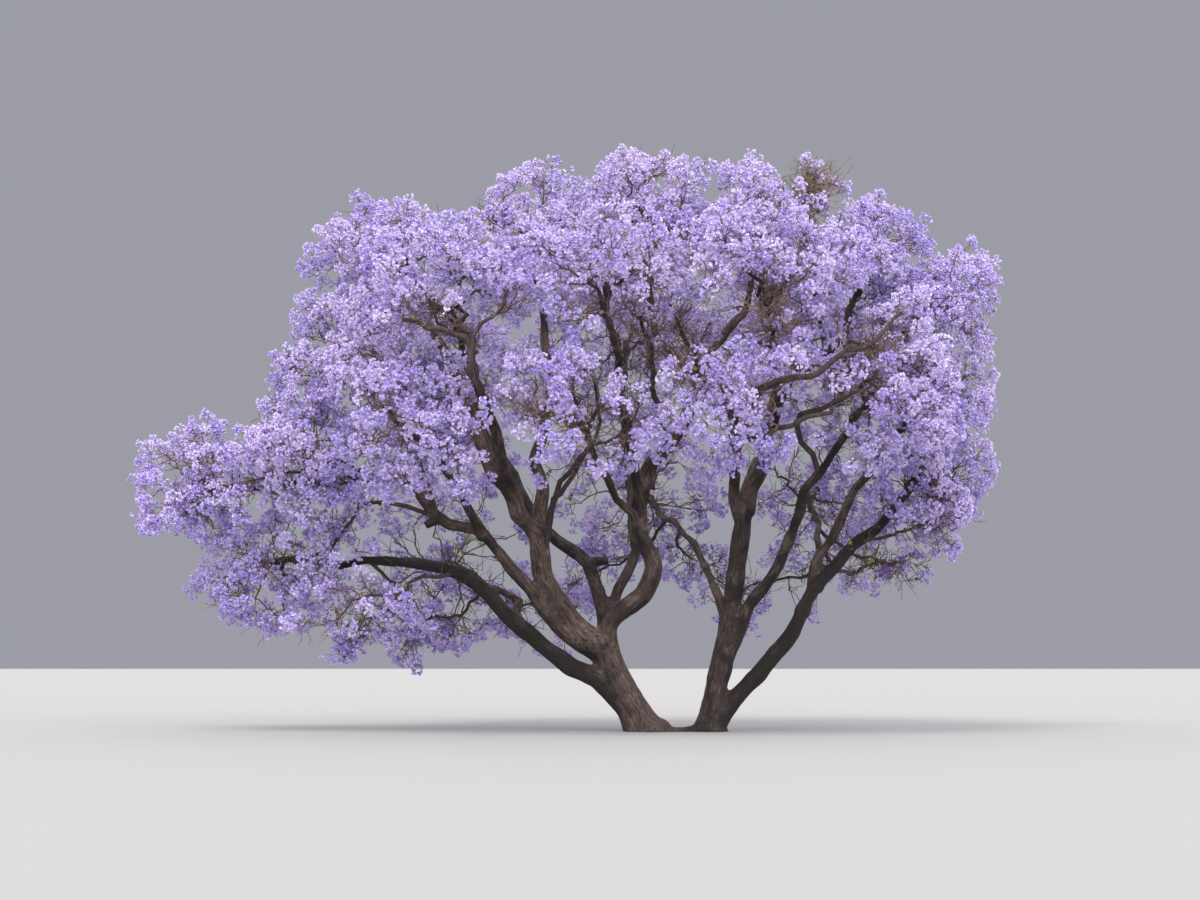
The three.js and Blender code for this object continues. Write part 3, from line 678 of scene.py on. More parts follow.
def finish_tree(tree, geometry, material):
    """Ends a tree in Realize Instances and Set Material, as the export needs."""
    real = node(tree, "GeometryNodeRealizeInstances", {"Geometry": geometry})
    painted = node(tree, "GeometryNodeSetMaterial", {"Geometry": real.outputs[0], "Material": material})
    node(tree, "NodeGroupOutput", {"Geometry": painted.outputs[0]})
    return tree


print("helpers for node trees are ready")

# %% The commonest nodes, one call each
def math(tree, operation, *values):
    """What a sum or another step on numbers gives."""
    return node(tree, "ShaderNodeMath", dict(enumerate(values)), operation=operation).outputs[0]


def vector_math(tree, operation, *values):
    """A node that does one step on vectors."""
    return node(tree, "ShaderNodeVectorMath", dict(enumerate(values)), operation=operation)


def attribute_in(tree, name, kind="FLOAT"):
    """What a piece stores under a name."""
    return node(tree, "GeometryNodeInputNamedAttribute", {"Name": name}, data_type=kind).outputs[0]


def noise_in(tree, vector, scale, detail, roughness=0.5):
    """A soft noise from 0 to 1."""
    inputs = {"Vector": vector, "Scale": scale, "Detail": detail, "Roughness": roughness}
    return node(tree, "ShaderNodeTexNoise", inputs).outputs[0]


def eased(tree, value, least, most, to_least=0.0, to_most=1.0):
    """A value carried from one range to another, and held at its ends."""
    inputs = dict(enumerate((value, least, most, to_least, to_most)))
    return node(tree, "ShaderNodeMapRange", inputs).outputs[0]


def scaled(tree, vector, share):
    """A vector made longer or shorter."""
    return node(tree, "ShaderNodeVectorMath", {0: vector, 3: share}, operation="SCALE").outputs[0]


print("a noise, a sum and a range take one call each")

# %% Build the relief tree
RELIEF_STRETCH = (1.0, 1.0, 0.2)
FURROW_LEVEL, LUMP_LEVEL = 0.55, 0.5
FURROW_DETAIL, LUMP_DETAIL = 2.0, 1.0
RELIEF_GAIN = 2.0
FOOT_FADE = 0.08


def relief_tree():
    """A tree that pushes bark in and out along its normals."""
    tree, given = node_tree("bark_relief", [
        ("Furrow depth", "Float", 0.012), ("Furrow scale", "Float", 9.0),
        ("Lump depth", "Float", 0.02), ("Lump scale", "Float", 2.2), ("Bark", "Material", None),
    ])
    place = node(tree, "GeometryNodeInputPosition").outputs[0]
    drawn_out = vector_math(tree, "MULTIPLY", attribute_in(tree, "grain", "FLOAT_VECTOR"), RELIEF_STRETCH)
    furrows = noise_in(tree, drawn_out.outputs[0], given["Furrow scale"], FURROW_DETAIL)
    lumps = noise_in(tree, place, given["Lump scale"], LUMP_DETAIL)
    furrow_push = math(tree, "MULTIPLY", math(tree, "SUBTRACT", furrows, FURROW_LEVEL), given["Furrow depth"])
    off_seam = math(tree, "SUBTRACT", 1.0, attribute_in(tree, "seam"))
    furrow_push = math(tree, "MULTIPLY", furrow_push, off_seam)
    lump_push = math(tree, "MULTIPLY", math(tree, "SUBTRACT", lumps, LUMP_LEVEL), given["Lump depth"])
    push = math(tree, "MULTIPLY", math(tree, "ADD", furrow_push, lump_push), RELIEF_GAIN)
    height = node(tree, "ShaderNodeSeparateXYZ", {0: place}).outputs[2]
    push = math(tree, "MULTIPLY", push, eased(tree, height, 0.0, FOOT_FADE))
    offset = scaled(tree, node(tree, "GeometryNodeInputNormal").outputs[0], push)
    moved = node(tree, "GeometryNodeSetPosition", {"Geometry": given["Geometry"], "Offset": offset})
    return finish_tree(tree, moved.outputs[0], given["Bark"])


def grow(piece, tree, values):
    """Runs a tree on a piece with its inputs set by identifier, and keeps the plain mesh."""
    modifier = piece.modifiers.new(tree.name, "NODES")
    modifier.node_group = tree
    sockets = {item.name: item.identifier for item in tree.interface.items_tree if item.in_out == "INPUT"}
    for label, value in values.items():
        modifier[sockets[label]] = value
    return baked(piece)


relief = relief_tree()
print(relief.name, "has", len(relief.nodes), "nodes")

# %% [markdown]
# ## The look of bark
# Jacaranda bark is grey-brown and dull. Furrows are darker, ridges lighter, and pale patches of
# old crust sit here and there. The same effect dresses the trunk and the twigs at different
# scales, so it is one shader group with named inputs. It gives a colour, a roughness and a
# height, and each material has its own Principled shader and Bump.

# %% Helpers for shader trees
def paint(code, alpha=1.0):
    """A linear colour from a hex code, by the sRGB curve."""
    parts = [int(code[at : at + 2], 16) / 255 for at in (1, 3, 5)]
    return (*[p / 12.92 if p <= 0.04045 else ((p + 0.055) / 1.055) ** 2.4 for p in parts], alpha)


def shader_group(name, inputs, outputs):
    """An empty shader group with the named inputs and outputs."""
    group = bpy.data.node_groups.new(name, "ShaderNodeTree")
    for label, kind, value in inputs:
        socket = group.interface.new_socket(label, in_out="INPUT", socket_type="NodeSocket" + kind)
        if value is not None:
            socket.default_value = value
    for label, kind in outputs:
        group.interface.new_socket(label, in_out="OUTPUT", socket_type="NodeSocket" + kind)
    return group, group.nodes.new("NodeGroupInput").outputs


def mix(tree, share, one, other):
    """One colour blended towards another by a share."""
    made = node(tree, "ShaderNodeMix", data_type="RGBA")
    # A Mix node has sockets for every kind of value. Those for colours are 6, 7 and, out, 2.
    for socket, value in ((made.inputs[0], share), (made.inputs[6], one), (made.inputs[7], other)):
        if isinstance(value, bpy.types.NodeSocket):
            tree.links.new(value, socket)
        else:
            socket.default_value = value
    return made.outputs[2]


print("a mid grey is", np.round(paint("#808080"), 3))

# %% The ridges and the crust of bark
FURROW_STRETCH, PLATE_STRETCH = (1.0, 1.0, 0.16), (1.0, 1.0, 0.45)
FURROW_SCALE, PLAIN_SCALE, PLATE_SCALE = 26.0, 15.0, 17.0
CRUST_SCALE = 2.4
BARK_DETAIL, PATCH_DETAIL = 5.0, 4.0
BARK_ROUGHNESS, CRUST_ROUGHNESS = 0.62, 0.6
CRACK_WIDTH, CRACK_DEPTH = 0.16, 0.45
CRUST_FROM, CRUST_FULL = 0.72, 0.74
RIDGE_FROM, RIDGE_FULL = 0.34, 0.62


def bark_pattern(tree, told):
    """Masks of the ridges and of the pale crust that sits on some of them."""
    along_grain = scaled(tree, told["Grain"], told["Fineness"])
    placed = scaled(tree, told["Place"], told["Fineness"])
    stretched = vector_math(tree, "MULTIPLY", along_grain, FURROW_STRETCH).outputs[0]
    furrowed = noise_in(tree, stretched, FURROW_SCALE, BARK_DETAIL, BARK_ROUGHNESS)
    plain = noise_in(tree, placed, PLAIN_SCALE, BARK_DETAIL, BARK_ROUGHNESS)
    to_plain = math(tree, "MULTIPLY", math(tree, "SUBTRACT", plain, furrowed), told["Seam"])
    furrowed = math(tree, "ADD", furrowed, to_plain)
    plate_place = vector_math(tree, "MULTIPLY", along_grain, PLATE_STRETCH).outputs[0]
    plates = node(
        tree, "ShaderNodeTexVoronoi", {"Vector": plate_place, "Scale": PLATE_SCALE},
        feature="DISTANCE_TO_EDGE",
    ).outputs[0]
    crack = math(tree, "MAXIMUM", eased(tree, plates, 0.0, CRACK_WIDTH), told["Seam"])
    cracked = math(tree, "ADD", math(tree, "MULTIPLY", crack, CRACK_DEPTH), 1 - CRACK_DEPTH)
    ridge = math(tree, "MULTIPLY", eased(tree, furrowed, RIDGE_FROM, RIDGE_FULL), cracked)
    crust_noise = noise_in(tree, placed, CRUST_SCALE, PATCH_DETAIL, CRUST_ROUGHNESS)
    crust_edge = math(tree, "SUBTRACT", CRUST_FROM, told["Crust share"])
    return ridge, eased(tree, crust_noise, crust_edge, CRUST_FULL), placed


print("crust begins at a noise of", CRUST_FROM, "less the crust share")

# %% Build the bark group
# Random dark patches on the bark: partly its own mottling, partly painted dappled shade from the crown.
MOTTLE_AND_SHADE_SCALE = 2.6
MOTTLE_AND_SHADE_FROM, MOTTLE_AND_SHADE_FULL, MOTTLE_AND_SHADE_DARKNESS = 0.44, 0.62, 0.38
DARKEST = "#1C1615"
FURROW_DULL, RIDGE_DULL = 0.97, 0.8
CRUST_HEIGHT = 0.3


def bark_skin():
    """The group that every bark material shares."""
    tree, told = shader_group(
        "bark_skin",
        [
            ("Grain", "Vector", None), ("Place", "Vector", None), ("Seam", "Float", 0.0),
            ("Fineness", "Float", 1.0), ("Wood", "Color", None), ("Furrow", "Color", None),
            ("Crust", "Color", None), ("Crust share", "Float", 0.4), ("Shade", "Float", 0.2),
        ],
        [("Color", "Color"), ("Roughness", "Float"), ("Height", "Float")],
    )
    ridge, crust, placed = bark_pattern(tree, told)
    wood = mix(tree, ridge, told["Furrow"], told["Wood"])
    coloured = mix(tree, math(tree, "MULTIPLY", crust, ridge), wood, told["Crust"])
    # The Shade input darkens the colour as painted shade, and the random patches add to it.
    mottle_and_shade = eased(tree, noise_in(tree, placed, MOTTLE_AND_SHADE_SCALE, PATCH_DETAIL), MOTTLE_AND_SHADE_FROM, MOTTLE_AND_SHADE_FULL)
    darkness = math(tree, "ADD", told["Shade"], math(tree, "MULTIPLY", mottle_and_shade, MOTTLE_AND_SHADE_DARKNESS))
    coloured = mix(tree, darkness, coloured, paint(DARKEST))
    dull = eased(tree, ridge, 0.0, 1.0, FURROW_DULL, RIDGE_DULL)
    height = math(tree, "ADD", ridge, math(tree, "MULTIPLY", crust, CRUST_HEIGHT))
    node(tree, "NodeGroupOutput", {"Color": coloured, "Roughness": dull, "Height": height})
    return tree


bark_group = bark_skin()
print(bark_group.name, "has", len(bark_group.nodes), "nodes")

# %% [markdown]
# The one skin of stems and boughs stores its grain, its shade and its seams. Twigs are too thin
# for that to show, so their materials read only the place, and have one shade all over.

# %% Bark for the trunk and the twigs
# A bark has its wood, furrow and crust colour, its share of crust, its shade or None where the
# piece stores one, its fineness, and its depth in metres.
BARKS = {
    "trunk_bark": ("#5F4D46", "#2A211E", "#9A857A", 0.38, None, 1.0, 0.014),
    "bough_bark": ("#524240", "#2E2526", "#73625D", 0.3, 0.2, 2.2, 0.006),
    "twig_bark": ("#7A6258", "#51413E", "#9A8476", 0.3, 0.1, 5.0, 0.002),
    # Dry twigs are paler, partly from dryness and partly as painted light where sun falls into the windows.
    "dry_twig_bark": ("#9E8672", "#6E5A4A", "#B8A08A", 0.3, 0.0, 6.0, 0.002),
}
BARK_BUMP = 0.9


def finish_shader(tree, shader, skin, strength, depth):
    """Links a group's outputs to the Principled shader, the height through a Bump."""
    for label, target in (("Color", "Base Color"), ("Roughness", "Roughness")):
        if label in skin.outputs:
            tree.links.new(skin.outputs[label], shader.inputs[target])
    bump = node(tree, "ShaderNodeBump", {
        "Strength": strength, "Distance": depth, "Height": skin.outputs["Height"],
    })
    tree.links.new(bump.outputs[0], shader.inputs["Normal"])


def bark_material(name, wood, furrow, crust, crust_share, shade, fineness, depth):
    """A bark finish. Without a shade it reads the grain, shade and seams that a piece stores."""
    material = bpy.data.materials.new(name)
    material.use_nodes = True
    tree = material.node_tree
    shader = tree.nodes["Principled BSDF"]
    skin = node(tree, "ShaderNodeGroup", {
        "Fineness": fineness, "Wood": paint(wood), "Furrow": paint(furrow), "Crust": paint(crust),
        "Crust share": crust_share,
    }, node_tree=bark_group)
    grain_out = place_out = node(tree, "ShaderNodeTexCoord").outputs["Object"]
    if shade is None:
        grain_out = node(tree, "ShaderNodeAttribute", attribute_name="grain").outputs["Vector"]
        for label in ("Shade", "Seam"):
            stored_out = node(tree, "ShaderNodeAttribute", attribute_name=label.lower()).outputs["Fac"]
            tree.links.new(stored_out, skin.inputs[label])
    else:
        skin.inputs["Shade"].default_value = shade
    tree.links.new(grain_out, skin.inputs["Grain"])
    tree.links.new(place_out, skin.inputs["Place"])
    finish_shader(tree, shader, skin, BARK_BUMP, depth)
    return material


trunk_bark, bough_bark, twig_bark, dry_twig_bark = (
    bark_material(name, *look) for name, look in BARKS.items()
)
print("barks:", ", ".join(BARKS))

# %% [markdown]
# Now the relief goes on. The tree stays in the file, but the modifier has to go before the
# piece is handed over, so we keep only the mesh that it makes. The noise may push a corner of
# the flat cut a hair too low, so we lift what ends below the ground.

# %% Press the relief in
grow(bark, relief, {
    "Furrow depth": 0.013, "Furrow scale": 9.0, "Lump depth": 0.03, "Lump scale": 2.4, "Bark": trunk_bark,
})
bark_corners = corners_of(bark.data)
bark_corners[:, 2] = np.maximum(bark_corners[:, 2], 0)
bark.data.vertices.foreach_set("co", bark_corners.ravel())
bark.data.shade_smooth()
print("bark", len(bark.data.polygons), "faces, lowest", bark_corners[:, 2].min())

# %% [markdown]
# ## Where the blossom goes
# The plain tree fills each mass by a seeded rule: flat walls keep neighbouring masses apart,
# each flower cluster is the best placed of a few tries, and it joins the arm that points most
# nearly its way. We run the same rule with the same seeds, so that the clusters grow where the
# plain ones are, and then carry it on to finer twigs.

# %% The rule's numbers
DICE_STEP, DICE_MODULUS, DICE_START = 16807, 2147483647, 1234577
BLOOM_RADIUS = 0.74
BLOOMS_A_MASS, ARMS_A_MASS, TRIES = 15, 4, 14
WALL_CLEARANCE, LIMB_CLEARANCE = 0.01, 0.03
CROWN_HEART = np.array([-1.5, 0, 4.6])
INWARD_LIMIT, UNDERSIDE, CROWDING = -0.3, -0.35, 0.65
SOFT_SHARE, DEEPEST, SMALLEST, SIZE_SPREAD = 0.6, 0.62, 0.8, 0.4
GOLDEN_ANGLE = np.pi * (3 - np.sqrt(5))

print("a mass has up to", BLOOMS_A_MASS, "clusters on", ARMS_A_MASS, "arms")

# %% Walls between the masses
def walls_of(mass):
    """The flat walls to a mass's neighbours, as normals and distances from its centre."""
    others = [other for other in masses.values() if other is not mass]
    apart = np.array([other["centre"] - mass["centre"] for other in others])
    between = np.linalg.norm(apart, axis=1)
    normals = apart / between[:, None]
    ours = np.linalg.norm(normals * mass["reach"], axis=1)
    theirs = np.array([np.linalg.norm(n * o["reach"]) for n, o in zip(normals, others)])
    return normals, between * ours / (ours + theirs)


def share_inside(mass, offset, radius):
    """The share of an offset from the centre that keeps a ball inside the mass's walls."""
    normals, distances = mass["walls"]
    along = normals @ offset
    room = distances - radius - WALL_CLEARANCE
    over = along > room
    return min(1, (np.maximum(room[over], 0) / along[over]).min()) if over.any() else 1


for mass in masses.values():
    mass["walls"] = walls_of(mass)
print("each mass has", len(masses) - 1, "walls")

# %% Throw for a cluster
def dice(seed):
    """A run of seeded numbers between 0 and 1, the same as in the plain tree."""
    state = (seed * DICE_START) % DICE_MODULUS

    def roll():
        nonlocal state
        state = (state * DICE_STEP) % DICE_MODULUS
        return state / DICE_MODULUS

    return roll


def touches_limb(point, radius):
    """Whether a ball comes too near to a stem or a bough."""
    apart = np.linalg.norm(sample_points - point, axis=1)
    return bool((apart < radius + sample_radii + LIMB_CLEARANCE).any())


def try_bloom(mass, outward, roll, full_radius=BLOOM_RADIUS, deepest=DEEPEST, inward=INWARD_LIMIT):
    """One throw for a cluster, or None where it may not grow."""
    height, angle, depth, size, under = (roll() for _ in range(5))
    height = 2 * height - 1
    width = np.sqrt(1 - height * height)
    direction = np.array([width * np.cos(2 * np.pi * angle), width * np.sin(2 * np.pi * angle), height])
    depth = deepest + (1 - deepest) * np.sqrt(depth)
    radius = full_radius * (SMALLEST + SIZE_SPREAD * size)
    if (under > mass["under"] and height < UNDERSIDE) or direction @ outward < inward:
        return None
    offset = mass["reach"] * direction
    length = np.linalg.norm(offset)
    offset *= (length * depth - radius * SOFT_SHARE) / length
    offset *= share_inside(mass, offset, radius * SOFT_SHARE)
    point = mass["centre"] + offset
    if touches_limb(point, radius * SOFT_SHARE):
        return None
    return {"point": point, "radius": radius, "direction": direction}


first_roll = dice(FIRST_MASS_SEED)
print("the first mass's dice start", [round(first_roll(), 3) for _ in range(3)])

# %% Plan every mass
def plan_mass(mass):
    """A mass's clusters, each the roomiest of a few throws, with the arm that it grows on."""
    roll = dice(mass["seed"])
    turn = roll() * 2 * np.pi
    outward = unit(mass["centre"] - CROWN_HEART)
    heights = 1 - (2 * np.arange(ARMS_A_MASS) + 1) / ARMS_A_MASS
    flats = np.sqrt(1 - heights**2)
    angles = np.arange(ARMS_A_MASS) * GOLDEN_ANGLE + turn
    arms = np.stack([flats * np.cos(angles), flats * np.sin(angles), heights], axis=1)
    kept = []
    for _ in range(BLOOMS_A_MASS):
        best, best_room = None, CROWDING
        for _ in range(TRIES):
            bloom = try_bloom(mass, outward, roll)
            if bloom is None:
                continue
            rooms = [
                np.linalg.norm(other["point"] - bloom["point"]) / (other["radius"] + bloom["radius"])
                for other in kept
            ]
            if min(rooms, default=np.inf) > best_room:
                best, best_room = bloom, min(rooms, default=np.inf)
        if best is not None:
            best["arm"] = int(np.argmax(arms @ (best["point"] - mass["centre"])))
            kept.append(best)
    return kept


for mass in masses.values():
    mass["blooms"] = plan_mass(mass)
print(sum(len(mass["blooms"]) for mass in masses.values()), "flower clusters in", len(masses), "masses")

# %% [markdown]
# The plain tree can only afford large clusters. The same rule, run on with smaller ones that
# may sit deeper in, fills the room between them as the real crown does.

# %% Smaller clusters between
SMALL_RADIUS, SMALL_COUNT, SMALL_TRIES = 0.5, 15, 16
SMALL_DEEPEST, SMALL_INWARD, SMALL_CROWDING = 0.45, -0.75, 0.52
SMALL_SEED = 500


def fill_mass(mass):
    """Smaller clusters in the room that all clusters before them leave."""
    roll = dice(mass["seed"] + SMALL_SEED)
    outward = unit(mass["centre"] - CROWN_HEART)
    rounder = {**mass, "under": 1.0}
    near = [bloom for other in masses.values() for bloom in other["blooms"] + other.get("fill", [])]
    points = np.array([bloom["point"] for bloom in near])
    radii = np.array([bloom["radius"] for bloom in near])
    kept = []
    for _ in range(SMALL_COUNT):
        best, best_room = None, SMALL_CROWDING
        for _ in range(SMALL_TRIES):
            bloom = try_bloom(rounder, outward, roll, SMALL_RADIUS, SMALL_DEEPEST, SMALL_INWARD)
            if bloom is None:
                continue
            room = (np.linalg.norm(points - bloom["point"], axis=1) / (radii + bloom["radius"])).min()
            if room > best_room:
                best, best_room = bloom, room
        if best is not None:
            kept.append(best)
            points = np.vstack([points, best["point"]])
            radii = np.append(radii, best["radius"])
    return kept


for mass in masses.values():
    mass["fill"] = fill_mass(mass)
print(sum(len(mass["fill"]) for mass in masses.values()), "smaller clusters between them")

# %% [markdown]
# ## From limb to flower stalk
# A jacaranda's twigs are crooked, because every flowering tip stops and side shoots take over.
# So each twig is a bent line with seeded kinks. There are four orders: the bough's last length,
# the arms, the twigs to each cluster, and the fine twigs that carry the flower sprays. All of
# one order are made at once as arrays, which is far quicker than one object each.

# %% Crooked lines, many at a time
TWIG_SEED = 23
EDGE_ROOM = 0.05
BEND_SHARE = 0.45
UP = np.array([0.0, 0.0, 1.0])

random = np.random.default_rng(TWIG_SEED)
room_low, room_high = BOX_LOW + EDGE_ROOM, BOX_HIGH - EDGE_ROOM


def crooked(starts, headings, ends, knots, wobble):
    """Lines that leave along their headings and reach their ends, kinked between."""
    starts, ends = np.asarray(starts, float), np.asarray(ends, float)
    length = np.linalg.norm(ends - starts, axis=1)[:, None]
    bends = starts + unit(headings) * length * BEND_SHARE
    share = np.linspace(0, 1, knots)[None, :, None]
    lines = starts[:, None] * (1 - share) ** 2 + 2 * bends[:, None] * share * (1 - share)
    lines = lines + ends[:, None] * share**2
    kinks = random.normal(0, 1, lines.shape) * wobble * length[:, None]
    return lines + kinks * np.sin(np.pi * share) ** 0.5 * (share > 0) * (share < 1)


def tapered(count, knots, thick, thin):
    """Radii at the knots of several lines, even from thick to thin."""
    share = np.linspace(0, 1, knots)[None, :]
    thick, thin = np.broadcast_to(thick, count)[:, None], np.broadcast_to(thin, count)[:, None]
    return thick + (thin - thick) * share


print("twigs keep", EDGE_ROOM, "m inside the plain tree's box")

# %% An arm with its twigs
ARM_KNOTS, TWIG_KNOTS = 8, 7
ARM_WOBBLE, TWIG_WOBBLE = 0.045, 0.05
ARM_THICK, ARM_THIN = 0.9, 0.6
TWIG_THICK, TWIG_TIP = 0.55, 0.011
ARM_END_SHARE = 0.5
WITH_STEM, WITH_ARM = 0.7, 0.6
TWIG_START_KNOTS = 3
ELBOW_CLUSTER = 0.66

stem_lines, stem_radii, arm_lines, arm_radii, twig_lines, twig_radii = [], [], [], [], [], []
clusters = []


def file_line(mass, lines, all_radii, line, radii):
    """Puts a line with its kind, and with its mass for smaller clusters to hang on."""
    lines.append(line)
    all_radii.append(radii)
    mass["knots"].append(line)
    mass["knot_radii"].append(radii)


def grow_arm(mass, root, root_radius, stem_way, blooms):
    """An arm from the stem towards its clusters, a twig to each, and a cluster at its end."""
    middle = np.mean([bloom["point"] for bloom in blooms], axis=0)
    elbow = mass["centre"] + (middle - mass["centre"]) * ARM_END_SHARE
    leaving = unit(unit(elbow - root) + WITH_STEM * stem_way)
    arm = crooked([root], [leaving], [elbow], ARM_KNOTS, ARM_WOBBLE)[0]
    radii = np.linspace(root_radius * ARM_THICK, root_radius * ARM_THIN, ARM_KNOTS)
    file_line(mass, arm_lines, arm_radii, arm, radii)
    arm_way = unit(arm[-1] - arm[-3])
    for bloom in blooms:
        towards = unit(bloom["point"] - elbow)
        start = arm[-1 - random.integers(0, TWIG_START_KNOTS)]
        leaving = unit(towards + WITH_ARM * arm_way)
        twig = crooked([start], [leaving], [bloom["point"]], TWIG_KNOTS, TWIG_WOBBLE)[0]
        radii = np.linspace(root_radius * TWIG_THICK, TWIG_TIP, TWIG_KNOTS)
        file_line(mass, twig_lines, twig_radii, twig, radii)
        clusters.append({**bloom, "mass": mass["name"], "twig": twig})
    clusters.append({
        "point": elbow, "radius": BLOOM_RADIUS * ELBOW_CLUSTER, "direction": unit(elbow - mass["centre"]),
        "mass": mass["name"], "twig": arm,
    })


print("an arm has", ARM_KNOTS, "knots and a twig", TWIG_KNOTS)

# %% A stem with its arms, in every mass
STEM_KNOTS, STEM_WOBBLE = 12, 0.022
STEM_THICK, STEM_THIN = 1.02, 0.5
TIP_STRETCH, SUNK = 0.3, 0.25
FIRST_ARM_SHARE = 0.4


def grow_stem(mass):
    """A stem that carries on from the mass's bough, with its arms."""
    mass["knots"], mass["knot_radii"] = [], []
    bough = limbs[mass["bough"]]
    tip, before = bough["even"]([1])[0], bough["even"]([1 - TIP_STRETCH / bough["length"]])[0]
    heading = unit(tip - before)
    stem = crooked([tip - heading * SUNK], [heading], [mass["centre"]], STEM_KNOTS, STEM_WOBBLE)[0]
    radii = tapered(1, STEM_KNOTS, bough["thin"] * STEM_THICK, bough["thin"] * STEM_THIN)[0]
    file_line(mass, stem_lines, stem_radii, stem, radii)
    arms_used = sorted({bloom["arm"] for bloom in mass["blooms"]})
    for order, arm in enumerate(arms_used):
        share = FIRST_ARM_SHARE + (1 - FIRST_ARM_SHARE) * order / len(arms_used)
        knot = int(round(share * (STEM_KNOTS - 1)))
        blooms = [bloom for bloom in mass["blooms"] if bloom["arm"] == arm]
        grow_arm(mass, stem[knot], radii[knot], unit(stem[-1] - stem[0]), blooms)


for mass in masses.values():
    grow_stem(mass)
print(len(stem_lines), "stems,", len(arm_lines), "arms")

# %% [markdown]
# ## Side limbs between the masses
# The photograph shows boughs that cross in front of the blossom or hang below it. They are thin
# beside the plain tree's boughs, so they are lines like the arms, drawn through a few knees.
# Most carry twigs and small clusters from their first third on. A few show so plainly that they
# carry them at their ends only, and keep the sight open before them.

# %% Side limbs that show below and between the masses
# A side limb has its parent, its place on it, its thick and thin radius, the share of its length
# from which it shows or a dash, and its knees.
SIDE_LIMBS = """
second_left_bough .48 .05 .016 - -5.15,-.7,4.32 -6.03,-.7,4.36 -6.35,-.65,3.9 -6.67,-.55,3.5 -7.3,-.5,3.3
low_left_bough .62 .045 .014 - -4.9,-.9,2.95 -5.3,-1.1,2.6 -6.0,-1.2,2.55 -6.4,-1.3,2.15
low_left_bough .85 .04 .013 - -5.4,.2,2.75 -5.7,.5,2.3 -6.3,.6,2.15
hanging_bough .9 .04 .013 - -4.2,1.2,2.3 -4.9,1.3,2.2 -5.2,1.2,1.75
main_left_bough .22 .07 .024 0 -2.35,-.6,4.5 -1.75,-.95,5.35 -1.45,-1.2,5.75 -1.5,-1.9,6.6
s_bough .74 .07 .03 - -.36,-.5,6.5 -.52,-.7,7.6 -.85,-1.2,8.3
right_bough .8 .05 .02 - 2.85,-.3,8.4 2.7,-.6,9.2 2.5,-.5,9.9 2.65,-.4,10.5 2.9,-.3,10.9
right_bough .62 .08 .03 - 2.8,-.4,6.98 2.9,-.6,7.26 3.76,-.8,7.55 4.25,-.9,7.95
right_bough .75 .045 .016 - 3.4,-.9,7.2 3.9,-1.1,7.15 4.5,-1.2,7.0 4.95,-1.3,6.65
outer_right_bough .8 .06 .022 - 2.3,-1.8,5.95 3.0,-2.1,6.15 3.15,-2.1,6.4 3.6,-2.3,6.6
front_left_bough .8 .06 .022 - -3.75,-2.9,6.8 -3.8,-3.3,7.25 -4.3,-3.6,7.4 -4.5,-3.9,7.8
front_left_bough .7 .05 .02 - -3.9,-2.6,6.5 -4.6,-3.0,6.7 -5.1,-3.2,6.6 -5.6,-3.3,6.9
back_right_low_bough .6 .045 .014 - 3.3,2.2,3.3 2.6,2.8,3.1 1.8,3.1,3.0 1.2,3.3,2.6
back_right_low_bough .8 .04 .013 - 3.9,2.6,3.5 4.3,2.8,3.5 4.6,2.7,3.3
back_middle_low_bough .7 .04 .013 - .2,3.2,3.8 .7,3.9,3.4 1.2,4.2,3.0
back_middle_low_bough .85 .04 .013 - -.5,3.6,3.7 -1.4,3.9,3.3 -2.1,4.0,3.0
hanging_bough .6 .04 .013 - -3.2,1.7,2.6 -2.8,2.3,2.5 -2.2,2.6,2.2
low_right_bough .7 .045 .014 - 3.6,.7,3.1 4.2,1.2,3.35 4.6,1.3,3.35
low_right_bough .85 .04 .013 - 4.2,-.7,3.75 4.7,-1.0,3.95 5.0,-1.1,3.85
s_bough .93 .07 .025 - .42,-.8,6.75 .38,-1.5,7.15 .1,-2.1,7.55 -.15,-2.5,8.0
s_bough .9 .07 .025 - .5,-.9,6.4 .85,-1.7,6.85 1.4,-2.3,7.1 1.9,-2.8,7.6
second_left_bough .86 .045 .014 - -6.4,-1,4.95 -7,-1.3,4.95 -7.7,-1.4,4.85 -8.2,-1.3,4.75
main_left_bough .25 .06 .022 0 -2.3,-.9,4.4 -1.95,-1.3,4.85 -1.65,-1.5,5.35 -1.1,-1.7,5.6 -.7,-1.8,6.1
upright_bough .97 .075 .03 .3 1.3,-3.6,6.05 1.83,-4.2,6.36 2.38,-4.25,6.46 2.82,-4.3,6.82 \
3.37,-4.3,6.99 3.69,-4.2,7.29 4.0,-4.0,7.6
upright_bough .85 .06 .026 .3 1.35,-3.2,5.35 1.84,-4,5.53 2.24,-4.1,5.71 2.68,-4.1,5.74 \
2.8,-4.1,5.96 3.11,-4.1,6.12 3.5,-4,6.3
front_left_bough .7 .085 .04 .35 -3.6,-3.2,6.05 -3.64,-4.3,6.3 -3.71,-4.6,6.71 -3.76,-4.6,7.02 \
-4.09,-4.65,7.13 -4.42,-4.7,7.2 -4.9,-4.5,7.4
front_left_bough .72 .07 .025 .5 -3.58,-3.3,6.1 -3.62,-4.3,6.35 -3.7,-4.6,6.75 -3.7,-4.6,7 \
-3.6,-4.6,7.2 -3.4,-4.6,7.38 -3.1,-4.4,7.65
"""
print(len(SIDE_LIMBS.split("\n")) - 2, "side limbs to draw")

# %% Grow the side limbs
SIDE_KNOTS, SIDE_KINK = 16, 0.03
FIRST_TWIG_KNOT, END_TWIGS = SIDE_KNOTS // 3, 3
SIDE_DROOP, SIDE_TURN, SIDE_REACH = 0.3, 0.4, (0.3, 0.75)
SIDE_WOBBLE = 0.08
SIDE_TWIG_THICK, THICKEST_SIDE_TWIG, SIDE_TWIG_TIP = 0.5, 0.014, 0.008
SIDE_CLUSTER_RADIUS = 0.34

side_lines, side_radii, shown_lines = [], [], []


